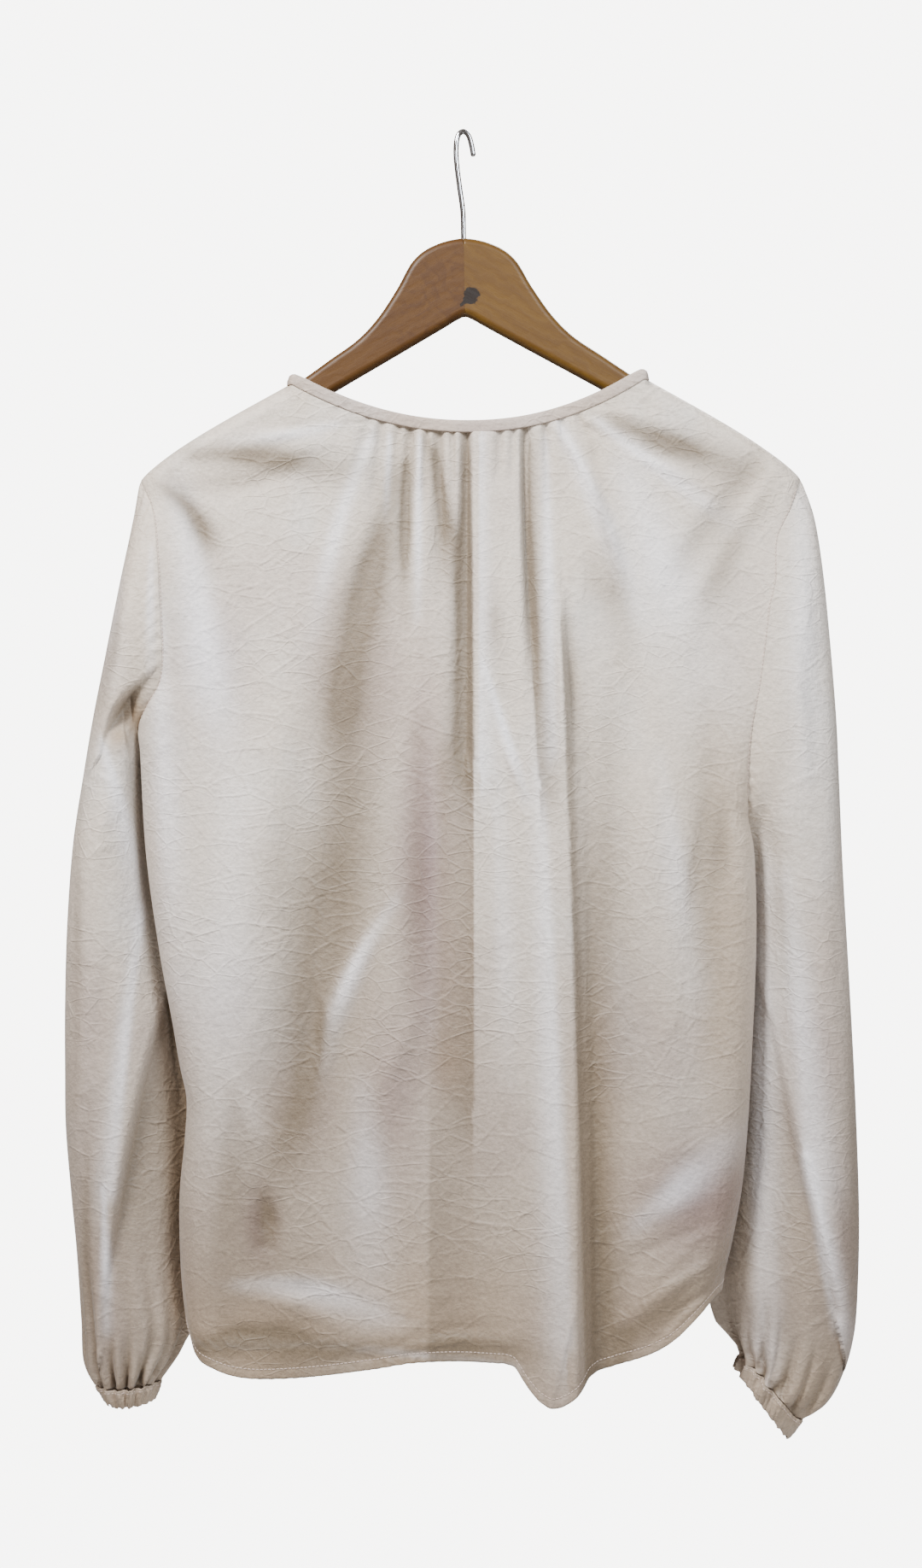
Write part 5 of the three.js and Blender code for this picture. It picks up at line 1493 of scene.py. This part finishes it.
def catmull_rom(points, count):
    """Even samples of a curve through the points."""
    points = np.array(points, float)
    last = len(points) - 1
    place = np.linspace(0, last, count)
    k = np.minimum(place.astype(int), last - 1)
    t = (place - k)[:, None]
    before = points[np.maximum(k - 1, 0)]
    after = points[np.minimum(k + 2, last)]
    return hermite(points[k], points[k + 1], (points[k + 1] - before) / 2, (after - points[k]) / 2, t)


def hanger_outline():
    mirrored = [(-x, z) for x, z in reversed(HANGER_TOP)]
    top = catmull_rom([*mirrored, (0, 0), *HANGER_TOP], 150)
    right_end = [(200.5, -150.5), (201.8, -155), (199.5, -160), (194.5, -162.6)]
    under = [*HANGER_UNDERSIDE, (0, HANGER_APEX_Z)]
    under = catmull_rom([*under, *((-x, z) for x, z in reversed(HANGER_UNDERSIDE))], 90)
    left_end = [(-x, z) for x, z in reversed(right_end)]
    return [*top, *right_end, *under, *left_end]


def hanger_body():
    """The whole hanger with rounded edges, from its filled outline."""
    curve = bpy.data.curves.new("hanger_outline", "CURVE")
    curve.dimensions = "2D"
    curve.fill_mode = "BOTH"
    curve.extrude = (HANGER_THICK / 2 - HANGER_EDGE_RADIUS) * MM
    curve.bevel_depth = HANGER_EDGE_RADIUS * MM
    curve.bevel_resolution = 5
    curve.offset = -HANGER_EDGE_RADIUS * MM
    outline = hanger_outline()
    spline = curve.splines.new("POLY")
    spline.points.add(len(outline) - 1)
    for point, (x, z) in zip(spline.points, outline):
        point.co = (x * MM, z * MM, 0, 1)
    spline.use_cyclic_u = True
    holder = bpy.data.objects.new("hanger_outline", curve)
    bpy.context.scene.collection.objects.link(holder)
    bpy.context.view_layer.update()
    mesh = bpy.data.meshes.new_from_object(holder.evaluated_get(bpy.context.evaluated_depsgraph_get()))
    bpy.data.objects.remove(holder)
    mesh.transform(Matrix.Rotation(np.pi / 2, 4, "X"))
    return mesh


def hanger_half(name, whole, side, material):
    half = bmesh.new()
    half.from_mesh(whole)
    bmesh.ops.remove_doubles(half, verts=half.verts, dist=1e-6)
    everything = [*half.verts, *half.edges, *half.faces]
    bmesh.ops.bisect_plane(half, geom=everything, plane_co=(side * GLUE_GAP / 2 * MM, 0, 0),
                           plane_no=(-side, 0, 0), clear_outer=True)
    rim = [edge for edge in half.edges if edge.is_boundary]
    bmesh.ops.contextual_create(half, geom=rim)
    mesh = bpy.data.meshes.new(name)
    half.to_mesh(mesh)
    half.free()
    tilt = Matrix.Rotation(-np.radians(HANGER_TILT), 4, "Y")
    mesh.transform(Matrix.Translation((0, 0, HANGER_CREST_Z * MM)) @ tilt)
    mesh.shade_smooth()
    for face in mesh.polygons:
        face.use_smooth = abs(face.normal.y) < 0.995 and abs(face.normal.x * side + 1) > 0.01
    piece = bpy.data.objects.new(name, mesh)
    bpy.context.scene.collection.objects.link(piece)
    piece.data.materials.append(material)
    return piece


class BLOUSE_OT_hanger(bpy.types.Operator):
    """Build the two wooden halves of the hanger and its wire hook"""

    bl_idname = "blouse.hanger"
    bl_label = "Hanger and hook"

    def execute(self, context):
        look = context.scene.blouse_hanger
        whole = hanger_body()
        dark = wood_material("dark_wood", look.dark_wood, look.grain, True)
        light = wood_material("light_wood", look.light_wood, look.grain, False)
        left = hanger_half("hanger_left_wood", whole, -1, dark)
        right = hanger_half("hanger_right_wood", whole, 1, light)
        sew_in(left, "hanger_left")
        sew_in(right, "hanger_right")
        self.bend_hook()
        return {"FINISHED"}

    def bend_hook(self):
        path = catmull_rom([(x, 0, z) for x, z in HOOK_PATH], 150)
        ahead = np.gradient(path, axis=0)
        ahead /= np.linalg.norm(ahead, axis=1, keepdims=True)
        side = np.cross(ahead, (0, 1, 0))
        sides = 20
        turns = np.arange(sides) * TAU / sides
        from_tip = np.linalg.norm(path - path[-1], axis=1)
        size = WIRE_RADIUS * np.sqrt(1 - (1 - np.clip(from_tip / WIRE_RADIUS, 0, 1)) ** 2)
        ring = (side[:, None, :] * np.cos(turns)[None, :, None]
                + np.array((0, 1, 0)) * np.sin(turns)[None, :, None])
        points = path[:, None, :] + ring * size[:, None, None]
        faces = grid_faces(len(path), sides, joined=True)
        faces.append(tuple(reversed(range(sides))))
        piece = mesh_object("hook_wire", points.reshape(-1, 3), faces)
        piece.data.materials.append(chrome_material())
        sew_in(piece, "hook")


class BLOUSE_OT_stage(bpy.types.Operator):
    """Add the floor, the lights and the camera"""

    bl_idname = "blouse.stage"
    bl_label = "Floor, lights and camera"

    def execute(self, context):
        stage = context.scene.blouse_stage
        self.add_floor()
        self.add_world(stage)
        middle = Vector((-0.0017, 0, -0.434))
        self.add_light("key_light", (-0.76, -1.0, 0.68), middle, stage.key_power, 0.40, (1.0, 0.975, 0.95))
        self.add_light("fill_light", (0.80, -1.25, 0.42), middle, stage.fill_power, 0.7, (0.90, 0.95, 1.0))
        self.add_light("rear_light", (0.45, 1.2, 0.95), middle, stage.rear_power, 0.6, (1.0, 0.98, 0.95))
        camera = bpy.data.cameras.new("camera")
        camera.sensor_fit = "VERTICAL"
        camera.angle_y = 2 * np.arctan(0.5233 / 1.6)
        holder = bpy.data.objects.new("camera", camera)
        holder.location = middle + Vector((0, -stage.distance, 0))
        holder.rotation_euler = (np.pi / 2, 0, 0)
        context.scene.collection.objects.link(holder)
        context.scene.camera = holder
        return {"FINISHED"}

    def add_floor(self):
        rings = np.linspace(0.0005, 0.9, 12)
        turns = np.arange(64) * TAU / 64
        points = np.stack([np.outer(rings, np.cos(turns)), np.outer(rings, np.sin(turns)),
                           np.full((len(rings), 64), -1.3)], axis=-1) / MM
        faces = grid_faces(len(rings), 64, joined=True, flipped=True)
        floor = mesh_object("floor", points.reshape(-1, 3), faces)
        material, tree, shader, place = new_material("pale_floor")
        tone = ramp(tree, noise(tree, place, 6.0), 0.3, 0.7)
        colour = blend_colour(tree, tone, (0.80, 0.79, 0.77, 1), (0.84, 0.83, 0.81, 1))
        feed(tree, shader, **{"Base Color": colour, "Roughness": 0.7})
        floor.data.materials.append(material)

    def add_world(self, stage):
        world = bpy.data.worlds.new("pale_room")
        world.use_nodes = True
        tree = world.node_tree
        background = tree.nodes["Background"]
        light_path = add_node(tree, "ShaderNodeLightPath")
        seen = light_path.outputs["Is Camera Ray"]
        strength = ramp(tree, seen, 0.0, 1.0, stage.ambient, stage.backdrop_glow)
        colour = blend_colour(tree, seen, (*stage.room_colour, 1), (*stage.backdrop, 1))
        feed(tree, background, Color=colour, Strength=strength)
        bpy.context.scene.world = world

    def add_light(self, name, place, target, power, size, colour):
        light = bpy.data.lights.new(name, "AREA")
        light.energy = power
        light.size = size
        light.color = colour
        holder = bpy.data.objects.new(name, light)
        holder.location = place
        holder.rotation_euler = (target - Vector(place)).to_track_quat("-Z", "Y").to_euler()
        holder.visible_camera = False
        bpy.context.scene.collection.objects.link(holder)


OPERATORS = (BLOUSE_OT_back, BLOUSE_OT_front, BLOUSE_OT_sleeves, BLOUSE_OT_neck_binding, BLOUSE_OT_sewing,
             BLOUSE_OT_hanger, BLOUSE_OT_stage)


class BLOUSE_PT_panel(bpy.types.Panel):
    """Lists the steps and the sizes and colours that they use"""

    bl_idname = "BLOUSE_PT_panel"
    bl_label = "Blouse"
    bl_space_type = "VIEW_3D"
    bl_region_type = "UI"
    bl_category = "Blouse"

    def draw(self, context):
        for operator in OPERATORS:
            self.layout.operator(operator.bl_idname)
        for settings in (context.scene.blouse_cloth, context.scene.blouse_hanger, context.scene.blouse_stage):
            box = self.layout.box()
            for name in settings.__annotations__:
                box.prop(settings, name)


CLASSES = (ClothSettings, HangerSettings, StageSettings, *OPERATORS, BLOUSE_PT_panel)


def register():
    for kind in CLASSES:
        bpy.utils.register_class(kind)
    bpy.types.Scene.blouse_cloth = PointerProperty(type=ClothSettings)
    bpy.types.Scene.blouse_hanger = PointerProperty(type=HangerSettings)
    bpy.types.Scene.blouse_stage = PointerProperty(type=StageSettings)


def unregister():
    del bpy.types.Scene.blouse_stage
    del bpy.types.Scene.blouse_hanger
    del bpy.types.Scene.blouse_cloth
    for kind in reversed(CLASSES):
        bpy.utils.unregister_class(kind)


def main():
    register()
    bpy.ops.blouse.back()
    bpy.ops.blouse.front()
    bpy.ops.blouse.sleeves()
    bpy.ops.blouse.neck_binding()
    bpy.ops.blouse.sewing()
    bpy.ops.blouse.hanger()
    bpy.ops.blouse.stage()


if __name__ == "__main__":
    main()
